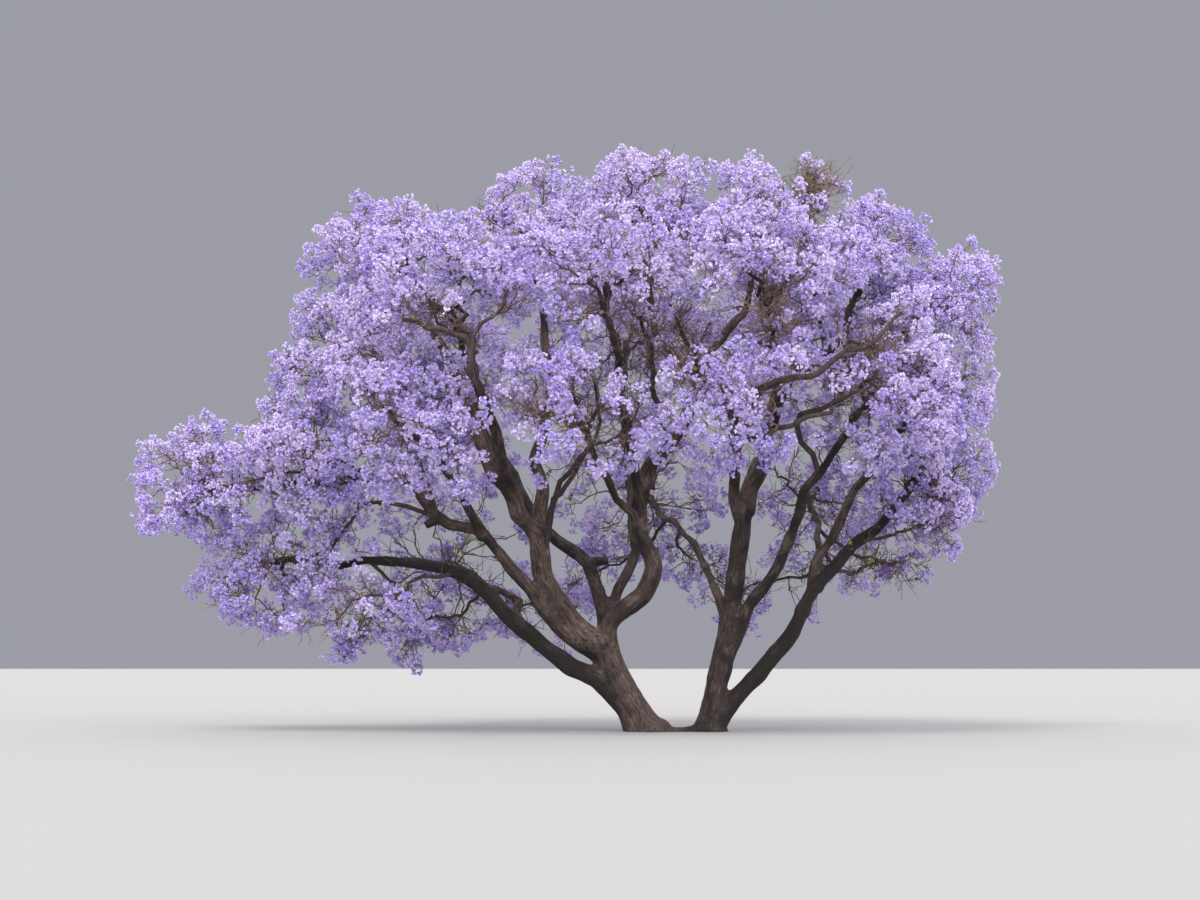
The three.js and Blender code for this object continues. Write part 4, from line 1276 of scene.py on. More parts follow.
def side_twig(parent, line, radii, knot):
    """A twig from a knot of a side limb, with a small cluster at its end."""
    way = random.normal(0, 1, 3) + unit(line[knot] - line[knot - 1])
    way = unit(way - SIDE_DROOP * UP)
    tip = np.clip(line[knot] + way * random.uniform(*SIDE_REACH), room_low, room_high)
    leaving = way + random.normal(0, SIDE_TURN, 3)
    twig = crooked([line[knot]], [leaving], [tip], TWIG_KNOTS, SIDE_WOBBLE)[0]
    thick = min(radii[knot] * SIDE_TWIG_THICK, THICKEST_SIDE_TWIG)
    twig_lines.append(twig)
    twig_radii.append(np.linspace(thick, SIDE_TWIG_TIP, TWIG_KNOTS))
    clusters.append({
        "point": tip, "radius": SIDE_CLUSTER_RADIUS, "direction": way, "mass": parent, "twig": twig,
    })


def side_limb(row):
    """One side limb with its twigs and clusters."""
    parent, share, thick, thin, shown, *knees = row.split()
    start = limbs[parent]["even"]([float(share)])[0]
    knees = np.array([start] + [[float(part) for part in knee.split(",")] for knee in knees])
    line = line_at(knees, np.linspace(0, 1, SIDE_KNOTS))
    line[1:] += random.normal(0, SIDE_KINK, line[1:].shape)
    radii = np.linspace(float(thick), float(thin), SIDE_KNOTS)
    side_lines.append(line)
    side_radii.append(radii)
    first_twig = FIRST_TWIG_KNOT
    if shown != "-":
        shown_lines.append(line[int(float(shown) * SIDE_KNOTS):])
        first_twig = SIDE_KNOTS - END_TWIGS
    for knot in range(first_twig, SIDE_KNOTS):
        side_twig(parent, line, radii, knot)


for row in SIDE_LIMBS.split("\n")[1:-1]:
    side_limb(row)
print(len(side_lines), "side limbs,", len(shown_lines), "of them in plain sight")

# %% [markdown]
# The smaller clusters have no arm of their own. Each hangs on the nearest wood of its own mass,
# but not so near that its twig would be a stump, and the twig leaves that wood outwards.

# %% Hang the smaller clusters
SHORTEST_TWIG, OUTWARD = 0.4, 0.4
NO_OFFSET = 1e-3
FILL_WOBBLE = 0.06
FILL_TWIG_THICK, THICKEST_FILL_TWIG, FILL_TWIG_TIP = 0.8, 0.016, 0.009


def hang_fill(mass):
    """A twig to each smaller cluster of a mass."""
    knots, radii = np.vstack(mass["knots"]), np.concatenate(mass["knot_radii"])
    for bloom in mass["fill"]:
        away = np.linalg.norm(knots - bloom["point"], axis=1)
        near = int(np.argmin(away + np.maximum(0, SHORTEST_TWIG - away)))
        start = knots[near]
        leaving = unit(bloom["point"] - start) + unit(start - mass["centre"] + NO_OFFSET) * OUTWARD
        twig = crooked([start], [leaving], [bloom["point"]], TWIG_KNOTS, FILL_WOBBLE)[0]
        thick = min(radii[near] * FILL_TWIG_THICK, THICKEST_FILL_TWIG)
        twig_lines.append(twig)
        twig_radii.append(np.linspace(thick, FILL_TWIG_TIP, TWIG_KNOTS))
        clusters.append({**bloom, "mass": mass["name"], "twig": twig})


for mass in masses.values():
    hang_fill(mass)
print(len(twig_lines), "twigs to", len(clusters), "clusters")

# %% [markdown]
# ## Flower sprays
# A jacaranda's flowers hang in loose pyramids about two hands wide, and ten or so of them make
# one puffy cluster. Each spray gets a place in the outer part of its cluster, as far as may be
# from the sprays before it, and a fine twig from the nearest fork.

# %% Place the sprays
SPRAYS_A_CLUSTER, SPRAY_RADIUS = 10, 0.2
SPRAY_TRIES = 10
SPRAY_DEPTHS, SPRAY_SIZES = (0.42, 0.8), (0.8, 1.25)
FLATTEN = np.array([1, 1, 0.85])
LOWEST_WAY = -0.15
FROM_HEART, SKYWARD = 0.8, 0.4
AXIS_OUT, AXIS_CLUSTER, AXIS_UP = 0.7, 0.4, 0.45


def place_sprays(cluster):
    """Sprays in the outer part of a cluster, each the roomiest of a few throws."""
    centre, radius = cluster["point"], cluster["radius"]
    outward = unit(cluster["direction"] + unit(centre - CROWN_HEART) * FROM_HEART + UP * SKYWARD)
    places, made = [], []
    for _ in range(int(round(SPRAYS_A_CLUSTER * (radius / BLOOM_RADIUS) ** 2))):
        ways = unit(random.normal(0, 1, (SPRAY_TRIES, 3)))
        forward = (ways @ outward)[:, None]
        ways = np.where(forward < LOWEST_WAY, ways - 2 * forward * outward, ways)
        reach = radius * random.uniform(*SPRAY_DEPTHS, (SPRAY_TRIES, 1))
        spots = centre + ways * reach * FLATTEN
        room = reach[:, 0]
        if places:
            room = np.min([np.linalg.norm(spots - place, axis=1) for place in places], axis=0)
        best = int(np.argmax(room))
        size = SPRAY_RADIUS * random.uniform(*SPRAY_SIZES)
        places.append(np.clip(spots[best], room_low + size, room_high - size))
        made.append({
            "point": places[-1], "size": size, "mass": cluster["mass"], "rise": ways[best][2],
            "axis": unit(ways[best] * AXIS_OUT + outward * AXIS_CLUSTER + UP * AXIS_UP),
        })
    return made


print(SPRAYS_A_CLUSTER, "sprays in a cluster of", BLOOM_RADIUS, "m")

# %% Fork the twigs out to the sprays
FORKS, FORK_KNOTS, SPRAY_KNOTS = 3, 5, 4
FORK_START_KNOTS, SPRAY_START_KNOTS = 4, 2
FORK_SHARE, WITH_TWIG = 0.55, 0.5
FORK_WOBBLE = 0.07
INTO_SPRAY, TURN_UP = 0.02, 0.35


def fork_twig(twig, places):
    """Forks from a cluster's twig towards some of its sprays, and a fine twig to every spray."""
    knots = [-1 - random.integers(0, FORK_START_KNOTS) for _ in range(FORKS)]
    starts = np.array([twig[knot] for knot in knots])
    guides = places[random.choice(len(places), FORKS, replace=len(places) < FORKS)]
    leaving = unit(guides - starts) + WITH_TWIG * unit(twig[-1] - twig[-3])
    forks = crooked(starts, leaving, starts + (guides - starts) * FORK_SHARE, FORK_KNOTS, FORK_WOBBLE)
    near = np.argmin(np.linalg.norm(places[:, None] - forks[None, :, -1], axis=2), axis=1)
    roots = forks[near, -1 - random.integers(0, SPRAY_START_KNOTS, len(places))]
    ends = places + INTO_SPRAY * UP
    return forks, crooked(roots, unit(ends - roots) + TURN_UP * UP, ends, SPRAY_KNOTS, FORK_WOBBLE)


sprays, fork_lines, spray_lines = [], [], []
for cluster in clusters:
    made = place_sprays(cluster)
    forks, fine_lines = fork_twig(cluster["twig"], np.array([spray["point"] for spray in made]))
    sprays += made
    fork_lines.append(forks)
    spray_lines.append(fine_lines)
fork_lines, spray_lines = np.concatenate(fork_lines), np.concatenate(spray_lines)
print(len(sprays), "sprays on", len(fork_lines), "forks")

# %% [markdown]
# ## Where the crown is thin
# Some parts of this crown carry few flowers. The middle of the front shows the boughs and their
# dry twigs, bare limbs cross on both sides, the upper left has a notch, the low right is loose,
# and near the top on the right stands a tangle of dry twigs. We call these places windows. A
# spray inside one is kept only by a throw of the dice, and its bare twig stays. The low masses
# behind the limbs are looser than the rest too.

# %% The windows
# A window has its centre, its reach, the share of sprays kept, and how densely dry twigs grow.
WINDOWS = [
    ((-0.3, -3.0, 7.1), (1.5, 3.2, 0.95), 0.2, 1.1),
    ((1.3, -3.0, 7.65), (1.2, 3.0, 0.65), 0.3, 1.1),
    ((3.1, -2.4, 7.15), (1.3, 2.6, 0.65), 0.3, 0.25),
    ((2.7, -3.0, 5.9), (0.9, 2.2, 0.4), 0.3, 0.1),
    ((-4.15, -4.0, 7.3), (0.75, 1.8, 0.65), 0.25, 0.0),
    ((-2.2, -3.5, 7.7), (0.9, 2.0, 0.45), 0.5, 0.4),
    ((-5.6, -3.0, 5.9), (0.8, 2.0, 0.5), 0.5, 0.0),
    ((2.75, 0.1, 10.45), (0.95, 2.5, 0.7), 0.34, 1.8),
    ((-2.7, -3.4, 5.55), (1.15, 2.2, 0.95), 0.35, 0.6),
    ((3.6, 0.5, 3.1), (1.9, 3.5, 0.8), 0.4, 0.0),
    ((-4.15, 0.2, 10.1), (0.65, 2.8, 0.95), 0.15, 0.0),
]
LOOSE_MASSES = {
    "back_left_low": 0.45, "back_middle_low": 0.55, "back_right_low": 0.55,
    "low_left": 0.75, "far_left": 0.85,
}
DRYNESS_RISE = 2


def read_windows(points):
    """The share of sprays kept at each point, and how densely dry twigs grow there."""
    keeps, dry = np.ones(len(points)), np.zeros(len(points))
    for centre, reach, keep, dryness in WINDOWS:
        inside = 1 - np.linalg.norm((points - np.array(centre)) / np.array(reach), axis=1)
        keeps[inside > 0] = keep
        dry = np.maximum(dry, dryness * np.minimum(DRYNESS_RISE * inside, 1))
    return keeps, dry


print(len(WINDOWS), "windows and", len(LOOSE_MASSES), "loose masses")

# %% [markdown]
# The limbs in plain sight would still be hidden by sprays that hang before them. We draw every
# spray and every limb towards the photograph's place, compare them in that flat picture, and
# drop most of the sprays that lie before a limb and near to it.

# %% Thin the sprays
SHOWN_ROOM, SHOWN_KEEP, SHOWN_AHEAD = 0.3, 0.06, 0.12


def sighted(points):
    """Points drawn towards the photograph's place until all lie at one depth."""
    apart = points - np.array(CAMERA_PLACE)
    return apart[..., [0, 2]] * (-CAMERA_PLACE[1] / apart[..., 1:2])


def hides_limb(points):
    """Which points lie before a limb that shows in the photograph."""
    hides = np.zeros(len(points), bool)
    for line in shown_lines:
        aside = np.linalg.norm(sighted(points)[:, None] - sighted(line), axis=2)
        ahead = line[:, 1] + SHOWN_AHEAD - points[:, None, 1]
        hides |= ((aside < SHOWN_ROOM) & (ahead > 0)).any(axis=1)
    return hides


spray_spots = np.array([spray["point"] for spray in sprays])
keeps, _ = read_windows(spray_spots)
keeps = keeps * np.array([LOOSE_MASSES.get(spray["mass"], 1) for spray in sprays])
keeps[hides_limb(spray_spots)] *= SHOWN_KEEP
flowering = random.random(len(sprays)) < keeps
sprays = [spray for spray, stays in zip(sprays, flowering) if stays]
print(len(sprays), "sprays in flower")

# %% [markdown]
# ## Twigs as tapered tubes
# A twig is only a line and a thickness until something gives it a skin. Geometry Nodes turn
# every line into a curve, set its radius from a stored thickness, and sweep a ring with a few
# sides along it. Few sides are enough for wood as thick as a finger.

# %% Build the twig tree
def tapered_twigs():
    """A tree that sweeps a ring along every line, as wide as the line's stored thickness."""
    tree, given = node_tree("tapered_twigs", [("Sides", "Int", 3), ("Bark", "Material", None)])
    curve = node(tree, "GeometryNodeMeshToCurve", {"Mesh": given["Geometry"]}).outputs[0]
    ring = node(tree, "GeometryNodeCurvePrimitiveCircle", {"Resolution": given["Sides"], "Radius": 1.0})
    swept = node(tree, "GeometryNodeCurveToMesh", {
        "Curve": curve, "Profile Curve": ring.outputs[0], "Scale": attribute_in(tree, "thickness"),
        "Fill Caps": True,
    })
    return finish_tree(tree, swept.outputs[0], given["Bark"])


twig_tree = tapered_twigs()


def twig_piece(name, groups, sides, material):
    """One mesh of tubes from groups of (lines, radii)."""
    corners, edges, thick, first = [], [], [], 0
    for lines, radii in groups:
        count, knots, _ = lines.shape
        index = first + np.arange(count * knots).reshape(count, knots)
        corners.append(lines.reshape(-1, 3))
        thick.append(np.broadcast_to(radii, (count, knots)).ravel())
        edges.append(np.stack([index[:, :-1], index[:, 1:]], axis=-1).reshape(-1, 2))
        first += count * knots
    corners, edges = np.vstack(corners), np.vstack(edges)
    mesh = bpy.data.meshes.new(name)
    mesh.vertices.add(len(corners))
    mesh.vertices.foreach_set("co", corners.ravel())
    mesh.edges.add(len(edges))
    mesh.edges.foreach_set("vertices", edges.ravel())
    mesh.attributes.new("thickness", "FLOAT", "POINT").data.foreach_set("value", np.concatenate(thick))
    piece = grow(object_of(name, mesh), twig_tree, {"Sides": sides, "Bark": material})
    piece.data.shade_smooth()
    print(name, triangles_in(piece), "triangles")
    return piece


print(twig_tree.name, "has", len(twig_tree.nodes), "nodes")

# %% Grow the twigs
BOUGH_END_SIDES, TWIG_SIDES, FINE_SIDES = 9, 6, 3
FORK_RADIUS, SPRAY_TWIG_RADIUS, SPRAY_TWIG_TIP = 0.0105, 0.0075, 0.004

bough_ends = twig_piece("bough_ends", [
    (np.array(stem_lines), np.array(stem_radii)), (np.array(arm_lines), np.array(arm_radii)),
    (np.array(side_lines), np.array(side_radii)),
], BOUGH_END_SIDES, bough_bark)
twigs = twig_piece("twigs", [(np.array(twig_lines), np.array(twig_radii))], TWIG_SIDES, twig_bark)
fine_twigs = twig_piece("fine_twigs", [
    (fork_lines, tapered(len(fork_lines), FORK_KNOTS, FORK_RADIUS, SPRAY_TWIG_RADIUS)),
    (spray_lines, tapered(len(spray_lines), SPRAY_KNOTS, SPRAY_TWIG_RADIUS, SPRAY_TWIG_TIP)),
], FINE_SIDES, twig_bark)

# %% [markdown]
# ## The flowers
# Each flower is a bell of five petals, drawn in as few faces as give that outline: one
# triangle a petal, meeting at the stalk. Every spray holds forty-five of them in nine bunches
# on a loose cone, mouths outward and hanging a little. Ours are 5 to 7 cm long, a little larger
# than life, so that the count stays within reach.

# %% Make one flower
PETALS, PETAL_HALF_ANGLE = 5, 31
MOUTH_RADIUS, MOUTH_DEPTH = 0.56, 0.92
PETAL_SKEW, PETAL_SLANT = 0.05, 0.07


def petal_bell():
    """A flower one metre long, with its stalk end at the origin and its mouth upwards."""
    corners, faces = [(0, 0, 0)], []
    for petal in range(PETALS):
        for side in (-1, 1):
            angle = np.radians(360 / PETALS * petal + PETAL_HALF_ANGLE * side)
            reach = MOUTH_RADIUS + PETAL_SKEW * side
            depth = MOUTH_DEPTH + PETAL_SLANT * side
            corners.append((reach * np.cos(angle), reach * np.sin(angle), depth))
        faces.append((0, len(corners) - 2, len(corners) - 1))
    mesh = bpy.data.meshes.new("flower")
    mesh.from_pydata(corners, [], faces)
    return object_of("flower", mesh)


flower = petal_bell()
print("a flower has", len(flower.data.polygons), "faces")

# %% Place every flower
BUNCHES_A_SPRAY, FLOWERS_A_BUNCH = 9, 5
BUNCH_RADIUS = 0.045
FLOWER_LENGTH = 0.057
DROOP = 0.3
FOOT, HEIGHT = -0.6, 1.45
FOOT_WIDTH, TIP_WIDTH = 0.95, 0.3
CLIMB_CURVE = 1.3
LEAST_WIDE, WIDE_CURVE = 0.35, 0.6
LOOK_UP, LOOK_OUT = 0.25, 1.1
LEAST_OUT = 0.2

spray_points = np.array([spray["point"] for spray in sprays])
spray_sizes = np.array([spray["size"] for spray in sprays])[:, None, None]
spray_axes = np.array([spray["axis"] for spray in sprays])
side_a = unit(np.cross(spray_axes, SLANT))
side_b = np.cross(spray_axes, side_a)
climb = random.uniform(0, 1, (len(sprays), BUNCHES_A_SPRAY, 1)) ** CLIMB_CURVE
first_turn = random.uniform(0, 2 * np.pi, (len(sprays), 1, 1))
turns = np.arange(BUNCHES_A_SPRAY)[None, :, None] * GOLDEN_ANGLE + first_turn
around = np.cos(turns) * side_a[:, None] + np.sin(turns) * side_b[:, None]
wide = FOOT_WIDTH + (TIP_WIDTH - FOOT_WIDTH) * climb
wide = wide * random.uniform(LEAST_WIDE, 1, climb.shape) ** WIDE_CURVE
spray_room = spray_sizes - 0.5 * FLOWER_LENGTH
lift = spray_room * (FOOT + HEIGHT * climb)
bunches = spray_points[:, None] + spray_axes[:, None] * lift + around * wide * spray_room
ways = unit(around * wide + spray_axes[:, None] * (climb + LOOK_UP))
fans = random.normal(0, 1, (len(sprays), BUNCHES_A_SPRAY, FLOWERS_A_BUNCH, 3))
fans = unit(fans + LOOK_OUT * ways[:, :, None])
out_shares = random.uniform(LEAST_OUT, 1, fans.shape[:3] + (1,))
flower_points = bunches[:, :, None] + fans * BUNCH_RADIUS * out_shares
flower_aims = unit(fans - DROOP * UP)
print("flowers", flower_points.size // 3)

# %% [markdown]
# ## Colours dealt out by spray
# From far off the crown is lavender, with patches that lean to blue or to pink, and palest at
# the top. We choose a tint for each spray from a soft noise over the crown, with painted light
# that gives paler tints to higher sprays and to sprays high in their cluster, let a few flowers
# in it take the next tint, and make one piece for each tint.

# %% Deal the tints
# A tint has its colour and its share of the flowers.
TINTS = {
    "deep_violet": ("#AF9FDC", 0.12),
    "violet": ("#BDAEE4", 0.18),
    "blue_lavender": ("#C6BAE8", 0.2),
    "lavender": ("#CEC2EA", 0.2),
    "pink_lavender": ("#D5C7EA", 0.18),
    "pale_lilac": ("#DACFEE", 0.12),
}
PATCH_SCALE = 0.75
FINE_SCALE, FINE_SHIFT, FINE_SHARE = 2.4, 31.7, 0.5
BUNCH_SPREAD, FLOWER_SPREAD, SPRAY_SPREAD = 0.18, 0.28, 0.12
# Painted light: higher sprays, and sprays high in their cluster, get paler tints.
PAINTED_LIGHT_A_METRE, PLAIN_HEIGHT = 0.05, 6
PAINTED_CLUSTER_TOP_LIGHT = 0.3

tone = np.array([
    noise.noise(Vector(point * PATCH_SCALE))
    + FINE_SHARE * noise.noise(Vector(point * FINE_SCALE + FINE_SHIFT))
    for point in spray_points
])
# Painted light by height in the crown.
painted_height_light = PAINTED_LIGHT_A_METRE * (spray_points[:, 2] - PLAIN_HEIGHT)
tone += painted_height_light + random.normal(0, SPRAY_SPREAD, len(sprays))
# Painted light on the tops of clusters, and painted shade under them.
tone += PAINTED_CLUSTER_TOP_LIGHT * np.array([spray["rise"] for spray in sprays])
ranks = np.argsort(np.argsort(tone)) / len(sprays) - 0.5
spread = ranks[:, None, None] + random.normal(0, FLOWER_SPREAD, flower_points.shape[:3])
spread += BUNCH_SPREAD * random.normal(0, 1, (len(sprays), BUNCHES_A_SPRAY, 1))
flower_ranks = np.argsort(np.argsort(spread.ravel())) / spread.size
shares = [share for _, share in TINTS.values()]
tint_of = np.searchsorted(np.cumsum(shares), flower_ranks * sum(shares)).reshape(spread.shape)
print("tints:", dict(zip(TINTS, np.bincount(tint_of.ravel()).tolist())))

# %% [markdown]
# Petals differ a little in gloss and have fine veins. That is one effect for every tint and for
# leaves and pods, so it is a group as the bark is. Each tint is then a plain colour.

# %% Build the petal group
VEIN_DETAIL = 2.0
MATT, MATT_SPREAD, GLOSS_EFFECT = 0.75, 0.25, 0.5
PETAL_SHEEN = 0.18
VEIN_BUMP, VEIN_DEPTH = 0.4, 0.004
PETAL_GLOSS, PETAL_FINENESS = 0.35, 60.0


def petal_skin():
    """The group that petals, leaves and pods share."""
    tree, told = shader_group(
        "petal_skin", [("Place", "Vector", None), ("Fineness", "Float", 60.0), ("Gloss", "Float", 0.5)],
        [("Roughness", "Float"), ("Height", "Float")],
    )
    veins = noise_in(tree, told["Place"], told["Fineness"], VEIN_DETAIL)
    matt = math(tree, "ADD", MATT, math(tree, "MULTIPLY", veins, MATT_SPREAD))
    matt = math(tree, "SUBTRACT", matt, math(tree, "MULTIPLY", told["Gloss"], GLOSS_EFFECT))
    node(tree, "NodeGroupOutput", {"Roughness": matt, "Height": veins})
    return tree


petal_group = petal_skin()


def petal_material(name, colour, gloss=PETAL_GLOSS, fineness=PETAL_FINENESS):
    """One plain colour with a petal's gloss and veins."""
    material = bpy.data.materials.new(name)
    material.use_nodes = True
    tree = material.node_tree
    shader = tree.nodes["Principled BSDF"]
    shader.inputs["Base Color"].default_value = paint(colour)
    shader.inputs["Specular IOR Level"].default_value = PETAL_SHEEN
    skin = node(tree, "ShaderNodeGroup", {
        "Fineness": fineness, "Gloss": gloss, "Place": node(tree, "ShaderNodeTexCoord").outputs["Object"],
    }, node_tree=petal_group)
    finish_shader(tree, shader, skin, VEIN_BUMP, VEIN_DEPTH)
    return material


print(petal_group.name, "has", len(petal_group.nodes), "nodes")

# %% [markdown]
# Every flower is a copy of one bell, set on a point, turned to its stored aim, spun by chance
# and sized by chance. Geometry Nodes do that for all of them at once. Separate objects would
# take minutes, and the export wants joined meshes in any case.

# %% Build the flower tree
def random_value(tree, least, most, seed):
    """A random number for each copy, between two numbers or sockets."""
    made = tree.nodes.new("FunctionNodeRandomValue")
    made.data_type = "FLOAT"
    for label, value in (("Min", least), ("Max", most), ("Seed", seed)):
        socket = next(s for s in made.inputs if s.enabled and s.name == label)
        if isinstance(value, bpy.types.NodeSocket):
            tree.links.new(value, socket)
        else:
            socket.default_value = value
    return next(socket for socket in made.outputs if socket.enabled)


def flowers_on_sprays():
    """A tree that sets a small shape on every point."""
    tree, given = node_tree("flowers_on_sprays", [
        ("Flower", "Object", None), ("Flower length", "Float", FLOWER_LENGTH),
        ("Smallest", "Float", 0.8), ("Largest", "Float", 1.2), ("Seed", "Int", 1),
        ("Petal", "Material", None),
    ])
    one = node(tree, "GeometryNodeObjectInfo", {"Object": given["Flower"]}).outputs["Geometry"]
    aim = attribute_in(tree, "aim", "FLOAT_VECTOR")
    aimed = node(tree, "FunctionNodeAlignRotationToVector", {"Vector": aim}, axis="Z").outputs[0]
    angle = random_value(tree, 0.0, 2 * np.pi, given["Seed"])
    spin = node(tree, "FunctionNodeAxisAngleToRotation", {"Axis": (0, 0, 1), "Angle": angle}).outputs[0]
    spun = node(
        tree, "FunctionNodeRotateRotation", {"Rotation": aimed, "Rotate By": spin},
        rotation_space="LOCAL",
    ).outputs[0]
    size = random_value(tree, given["Smallest"], given["Largest"], given["Seed"])
    copies = node(tree, "GeometryNodeInstanceOnPoints", {
        "Points": given["Geometry"], "Instance": one, "Rotation": spun,
        "Scale": math(tree, "MULTIPLY", size, given["Flower length"]),
    })
    return finish_tree(tree, copies.outputs[0], given["Petal"])


flower_tree = flowers_on_sprays()
print(flower_tree.name, "has", len(flower_tree.nodes), "nodes")

# %% Grow the flowers, one piece for each tint
FLOWER_SIZES = (0.8, 1.2)


def scattered(name, points, aims, shape, length, sizes, seed, material):
    """One mesh with a copy of a small shape at every point."""
    mesh = bpy.data.meshes.new(name)
    mesh.vertices.add(len(points))
    mesh.vertices.foreach_set("co", np.ravel(points))
    mesh.attributes.new("aim", "FLOAT_VECTOR", "POINT").data.foreach_set("vector", np.ravel(aims))
    piece = grow(object_of(name, mesh), flower_tree, {
        "Flower": shape, "Flower length": length, "Smallest": sizes[0], "Largest": sizes[1],
        "Seed": seed, "Petal": material,
    })
    print(name, triangles_in(piece), "triangles")
    return piece


blossom = []
for order, (tint, (colour, _)) in enumerate(TINTS.items()):
    mine = tint_of == order
    petals = petal_material(tint + "_petals", colour)
    blossom.append(scattered(
        tint + "_flowers", flower_points[mine], flower_aims[mine], flower, FLOWER_LENGTH, FLOWER_SIZES,
        order, petals,
    ))
bpy.data.objects.remove(flower)

# %% [markdown]
# ## Stalks, dry twigs, leaves and pods
# Between the flowers show their brown stalks. Each bunch hangs on a stalk of its own, and each
# spray has one thicker stalk through its middle. They are so thin that a pyramid of three faces
# is enough for each, written straight from arrays.

# %% Flower stalks as slim pyramids
STALK_RADIUS, AXIS_RADIUS = 0.0042, 0.0055
STALK_DROP, AXIS_SHARE = 0.35, 0.75
PYRAMID_ANGLES = (0, 120, 240)


def pyramids(name, starts, ends, radius, material):
    """Three-sided pyramids from starts to ends, made at once from arrays."""
    along = unit(ends - starts)
    across = unit(np.cross(along, SLANT))
    third = np.cross(along, across)
    angles = np.radians(PYRAMID_ANGLES)[None, :, None]
    spokes = np.cos(angles) * across[:, None] + np.sin(angles) * third[:, None]
    corners = np.concatenate([starts[:, None] + radius * spokes, ends[:, None]], axis=1).reshape(-1, 3)
    base = 4 * np.arange(len(starts))[:, None]
    faces = np.concatenate([base + [0, 1, 3], base + [1, 2, 3], base + [2, 0, 3]], axis=1).reshape(-1, 3)
    mesh = bpy.data.meshes.new(name)
    mesh.from_pydata(corners.tolist(), [], faces.tolist())
    mesh.materials.append(material)
    print(name, len(faces), "triangles")
    return object_of(name, mesh)


stalk_roots = spray_points[:, None] + spray_axes[:, None] * (lift - STALK_DROP * spray_sizes)
axis_feet = spray_points - AXIS_SHARE * spray_axes * spray_sizes[:, 0]
axis_tops = spray_points + AXIS_SHARE * spray_axes * spray_sizes[:, 0]
stalk_radii = np.repeat([STALK_RADIUS, AXIS_RADIUS], [bunches.size // 3, len(sprays)])
stalks = pyramids(
    "flower_stalks", np.vstack([stalk_roots.reshape(-1, 3), axis_feet]),
    np.vstack([bunches.reshape(-1, 3), axis_tops]), stalk_radii[:, None, None], twig_bark,
)

# %% [markdown]
# Last year's twigs stay bare among the flowers, grey-brown all over the crown, and tan and
# tangled in some of the windows, partly as dry wood and partly as painted light where the sun
# falls in. They sprout from every order of wood by a throw of the dice, bend at each joint, and
# have a short shoot there.

# %% Bare twigs, grey-brown all over and tan in the windows
BARE_KNOTS, BARE_WOBBLE = 5, 0.09
BARE_SHARE, DRY_SHARE = 0.48, 1.5
BARE_REACH, SHOOT_REACH = (0.25, 0.75), (0.1, 0.32)
BARE_RADII, SHOOT_RADIUS = (0.0095, 0.004), 0.005
BARE_RISE, BARE_OUTWARD = 0.35, 0.6
BARE_TURN, SHOOT_TURN = 0.5, 0.7
LIMB_FROM, LIMB_PLACES = 0.45, 14

boughs = [limb for limb in limbs.values() if limb["name"] not in STEMS]
bough_places = [bough["even"](np.linspace(LIMB_FROM, 1, LIMB_PLACES)) for bough in boughs]
wood = np.vstack(arm_lines + twig_lines + stem_lines + side_lines + bough_places)
_, dry_at = read_windows(wood)


def bare_pieces(kind, sprouts, material):
    """Crooked twigs with short shoots, growing out of the wood as often as told."""
    starts = np.repeat(wood, sprouts, axis=0)
    headings = random.normal(0, 1, starts.shape) + BARE_RISE * UP
    headings = unit(headings + BARE_OUTWARD * unit(starts - CROWN_HEART))
    ends = starts + headings * random.uniform(*BARE_REACH, (len(starts), 1))
    ends = np.clip(ends, room_low, room_high)
    leaving = unit(headings + random.normal(0, BARE_TURN, headings.shape))
    lines = crooked(starts, leaving, ends, BARE_KNOTS, BARE_WOBBLE)
    joints = lines[:, 1:-1].reshape(-1, 3)
    ways = np.repeat(headings, BARE_KNOTS - 2, axis=0)
    ways = unit(ways + random.normal(0, SHOOT_TURN, joints.shape))
    tips = joints + ways * random.uniform(*SHOOT_REACH, (len(joints), 1))
    tips = np.clip(tips, room_low, room_high)
    radii = tapered(len(lines), BARE_KNOTS, *BARE_RADII)
    return [
        twig_piece(kind + "_twigs", [(lines, radii)], FINE_SIDES, material),
        pyramids(kind + "_shoots", joints, tips, SHOOT_RADIUS, material),
    ]


bare = bare_pieces("bare", random.poisson(BARE_SHARE, len(wood)), twig_bark)
dry = bare_pieces("dry", random.poisson(DRY_SHARE * dry_at), dry_twig_bark)

# %% [markdown]
# A few tufts of young leaves are out, yellow-green and ferny. A real leaf has hundreds of
# leaflets, far too many here, so each leaf is one blade with a toothed edge that sags a little,
# and the flower tree sets five of them at each tuft.

# %% Young leaves
LEAFLETS = 7
LEAF_TUFTS, LEAVES_A_TUFT = 50, 5
LEAF_LENGTH, LEAF_SIZES, LEAF_RISE, LEAF_SEED = 0.2, (0.7, 1.2), 0.7, 41
BARE_STALK, BLADE = 0.12, 0.86
LEAF_WIDTH, WIDTH_FROM, WIDTH_SPAN = 0.24, 0.15, 0.8
LEAF_SAG, TOOTH, TOOTH_SAG = 0.12, 0.1, 0.04
LEAF_COLOUR, LEAF_GLOSS, LEAF_FINENESS = "#93A350", 0.6, 90.0


def ferny_leaf():
    """A blade about one metre long, with a tooth for each pair of leaflets."""
    corners, faces = [(0, 0, 0)], []
    for pair in range(LEAFLETS):
        along = BARE_STALK + BLADE * pair / LEAFLETS
        width = LEAF_WIDTH * np.sin(np.pi * (WIDTH_FROM + WIDTH_SPAN * pair / LEAFLETS))
        drop = LEAF_SAG * along**2
        spine, left, right = len(corners), len(corners) + 1, len(corners) + 2
        corners.append((0, along, -drop))
        corners += [(side * width, along + TOOTH, -drop - TOOTH_SAG) for side in (-1, 1)]
        before = max(0, spine - 3)
        faces += [(before, spine, left), (before, right, spine)]
    mesh = bpy.data.meshes.new("leaf")
    mesh.from_pydata([(x, z, y) for x, y, z in corners], [], faces)
    return object_of("leaf", mesh)


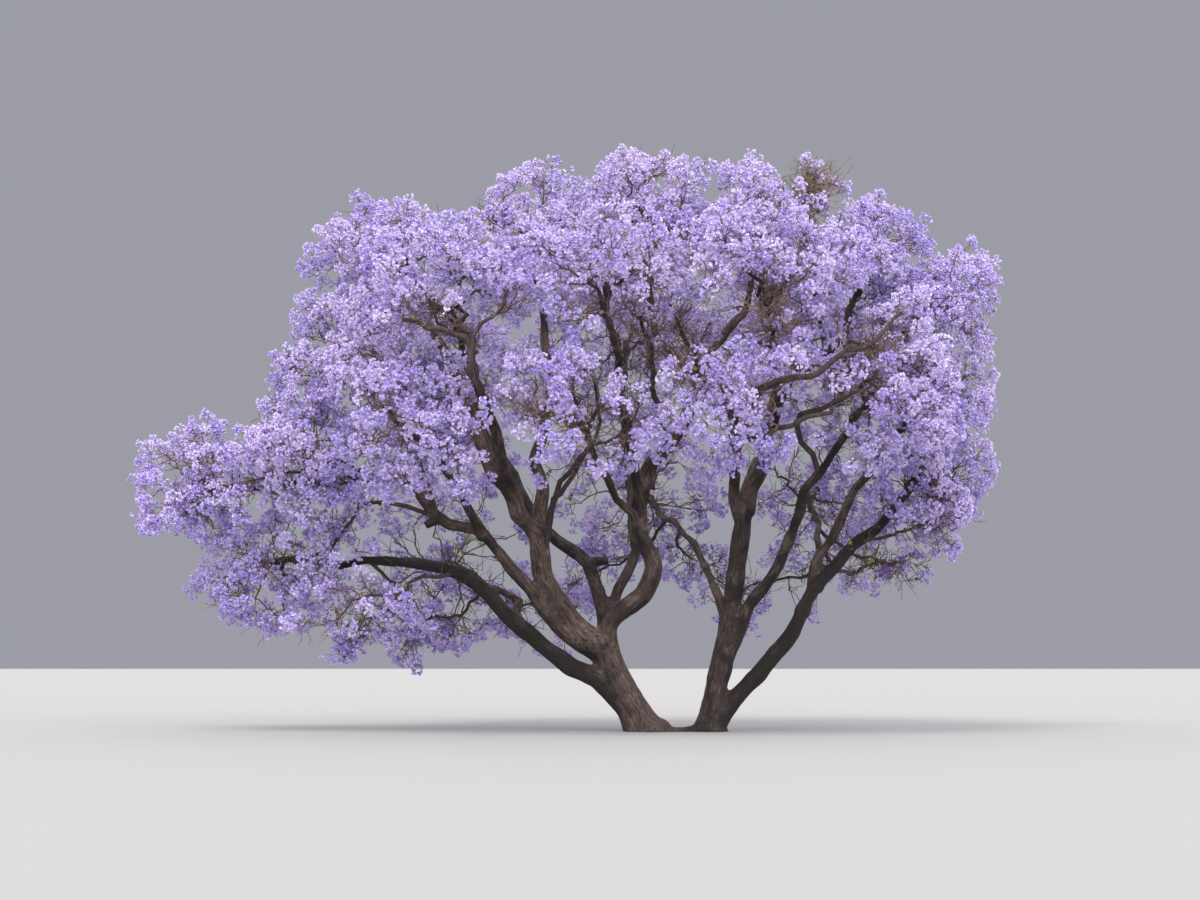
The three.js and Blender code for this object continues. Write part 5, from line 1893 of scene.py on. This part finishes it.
leaf = ferny_leaf()
tufts = wood[random.choice(len(wood), LEAF_TUFTS, replace=False)]
leaf_points = np.repeat(tufts, LEAVES_A_TUFT, axis=0)
leaf_aims = unit(random.normal(0, 1, leaf_points.shape) + LEAF_RISE * UP)
leaves = scattered(
    "young_leaves", leaf_points, leaf_aims, leaf, LEAF_LENGTH, LEAF_SIZES, LEAF_SEED,
    petal_material("young_leaf", LEAF_COLOUR, LEAF_GLOSS, LEAF_FINENESS),
)
bpy.data.objects.remove(leaf)

# %% [markdown]
# Some of last year's seed pods still hang on. They are flat woody discs about as wide as a
# flower is long, and a little thicker in the middle, so a lens of two shallow cones is enough.

# %% Seed pods
POD_SIDES, PODS = 8, 260
POD_RADIUS, POD_THICKNESS = 0.5, 0.11
POD_LENGTH, POD_SIZES, POD_SWING, POD_SEED = 0.065, (0.8, 1.2), 0.4, 43
POD_COLOUR, POD_GLOSS, POD_FINENESS = "#6B4A33", 0.4, 120.0


def flat_pod():
    """A round woody lens one metre across, hung by its rim at the origin."""
    angles = np.linspace(0, 2 * np.pi, POD_SIDES, endpoint=False)
    corners = [(POD_RADIUS * np.cos(a), 0, POD_RADIUS + POD_RADIUS * np.sin(a)) for a in angles]
    corners += [(0, POD_THICKNESS, POD_RADIUS), (0, -POD_THICKNESS, POD_RADIUS)]
    faces = []
    for side in range(POD_SIDES):
        after = (side + 1) % POD_SIDES
        faces += [(after, side, POD_SIDES), (side, after, POD_SIDES + 1)]
    mesh = bpy.data.meshes.new("pod")
    mesh.from_pydata(corners, [], faces)
    return object_of("pod", mesh)


pod = flat_pod()
pod_points = fork_lines[random.choice(len(fork_lines), PODS, replace=False), -1]
pod_aims = unit(random.normal(0, POD_SWING, pod_points.shape) - UP)
pods = scattered(
    "seed_pods", pod_points, pod_aims, pod, POD_LENGTH, POD_SIZES, POD_SEED,
    petal_material("pod_wood", POD_COLOUR, POD_GLOSS, POD_FINENESS),
)
bpy.data.objects.remove(pod)

# %% [markdown]
# ## The finished tree
# The bark stands for the root crown, the stems and the boughs of the plain tree. The bough
# ends, the twigs and the flowers stand for its masses. Nothing in a tree turns on a joint, so
# every piece rides on the one body. Last we compare the finished tree's box with the plain
# one's, because its outermost petals may reach a hand's width past it, and no more.

# %% Replace, ride and measure
WOOD = [bark, bough_ends, twigs, fine_twigs, stalks, *bare, *dry, pods]
SOFT = [*blossom, leaves]
mass_nodes = [name + "_bloom" for name in masses]

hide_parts("root_crown", *limbs)
for piece in [bough_ends, twigs, *blossom]:
    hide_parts(*mass_nodes)
for pieces, slot in ((WOOD, "bark"), (SOFT, "blossom")):
    for piece in pieces:
        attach(piece, "root")

tree_box = [list(corner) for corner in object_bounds()]
past = max((BOX_LOW - tree_box[0]).max(), (tree_box[1] - BOX_HIGH).max())
print(sum(triangles_in(piece) for piece in WOOD + SOFT), "triangles in", len(WOOD + SOFT), "pieces")
print("grown box", np.round(tree_box, 3).tolist(), "reaches", round(float(past), 2), "m past the plain one")
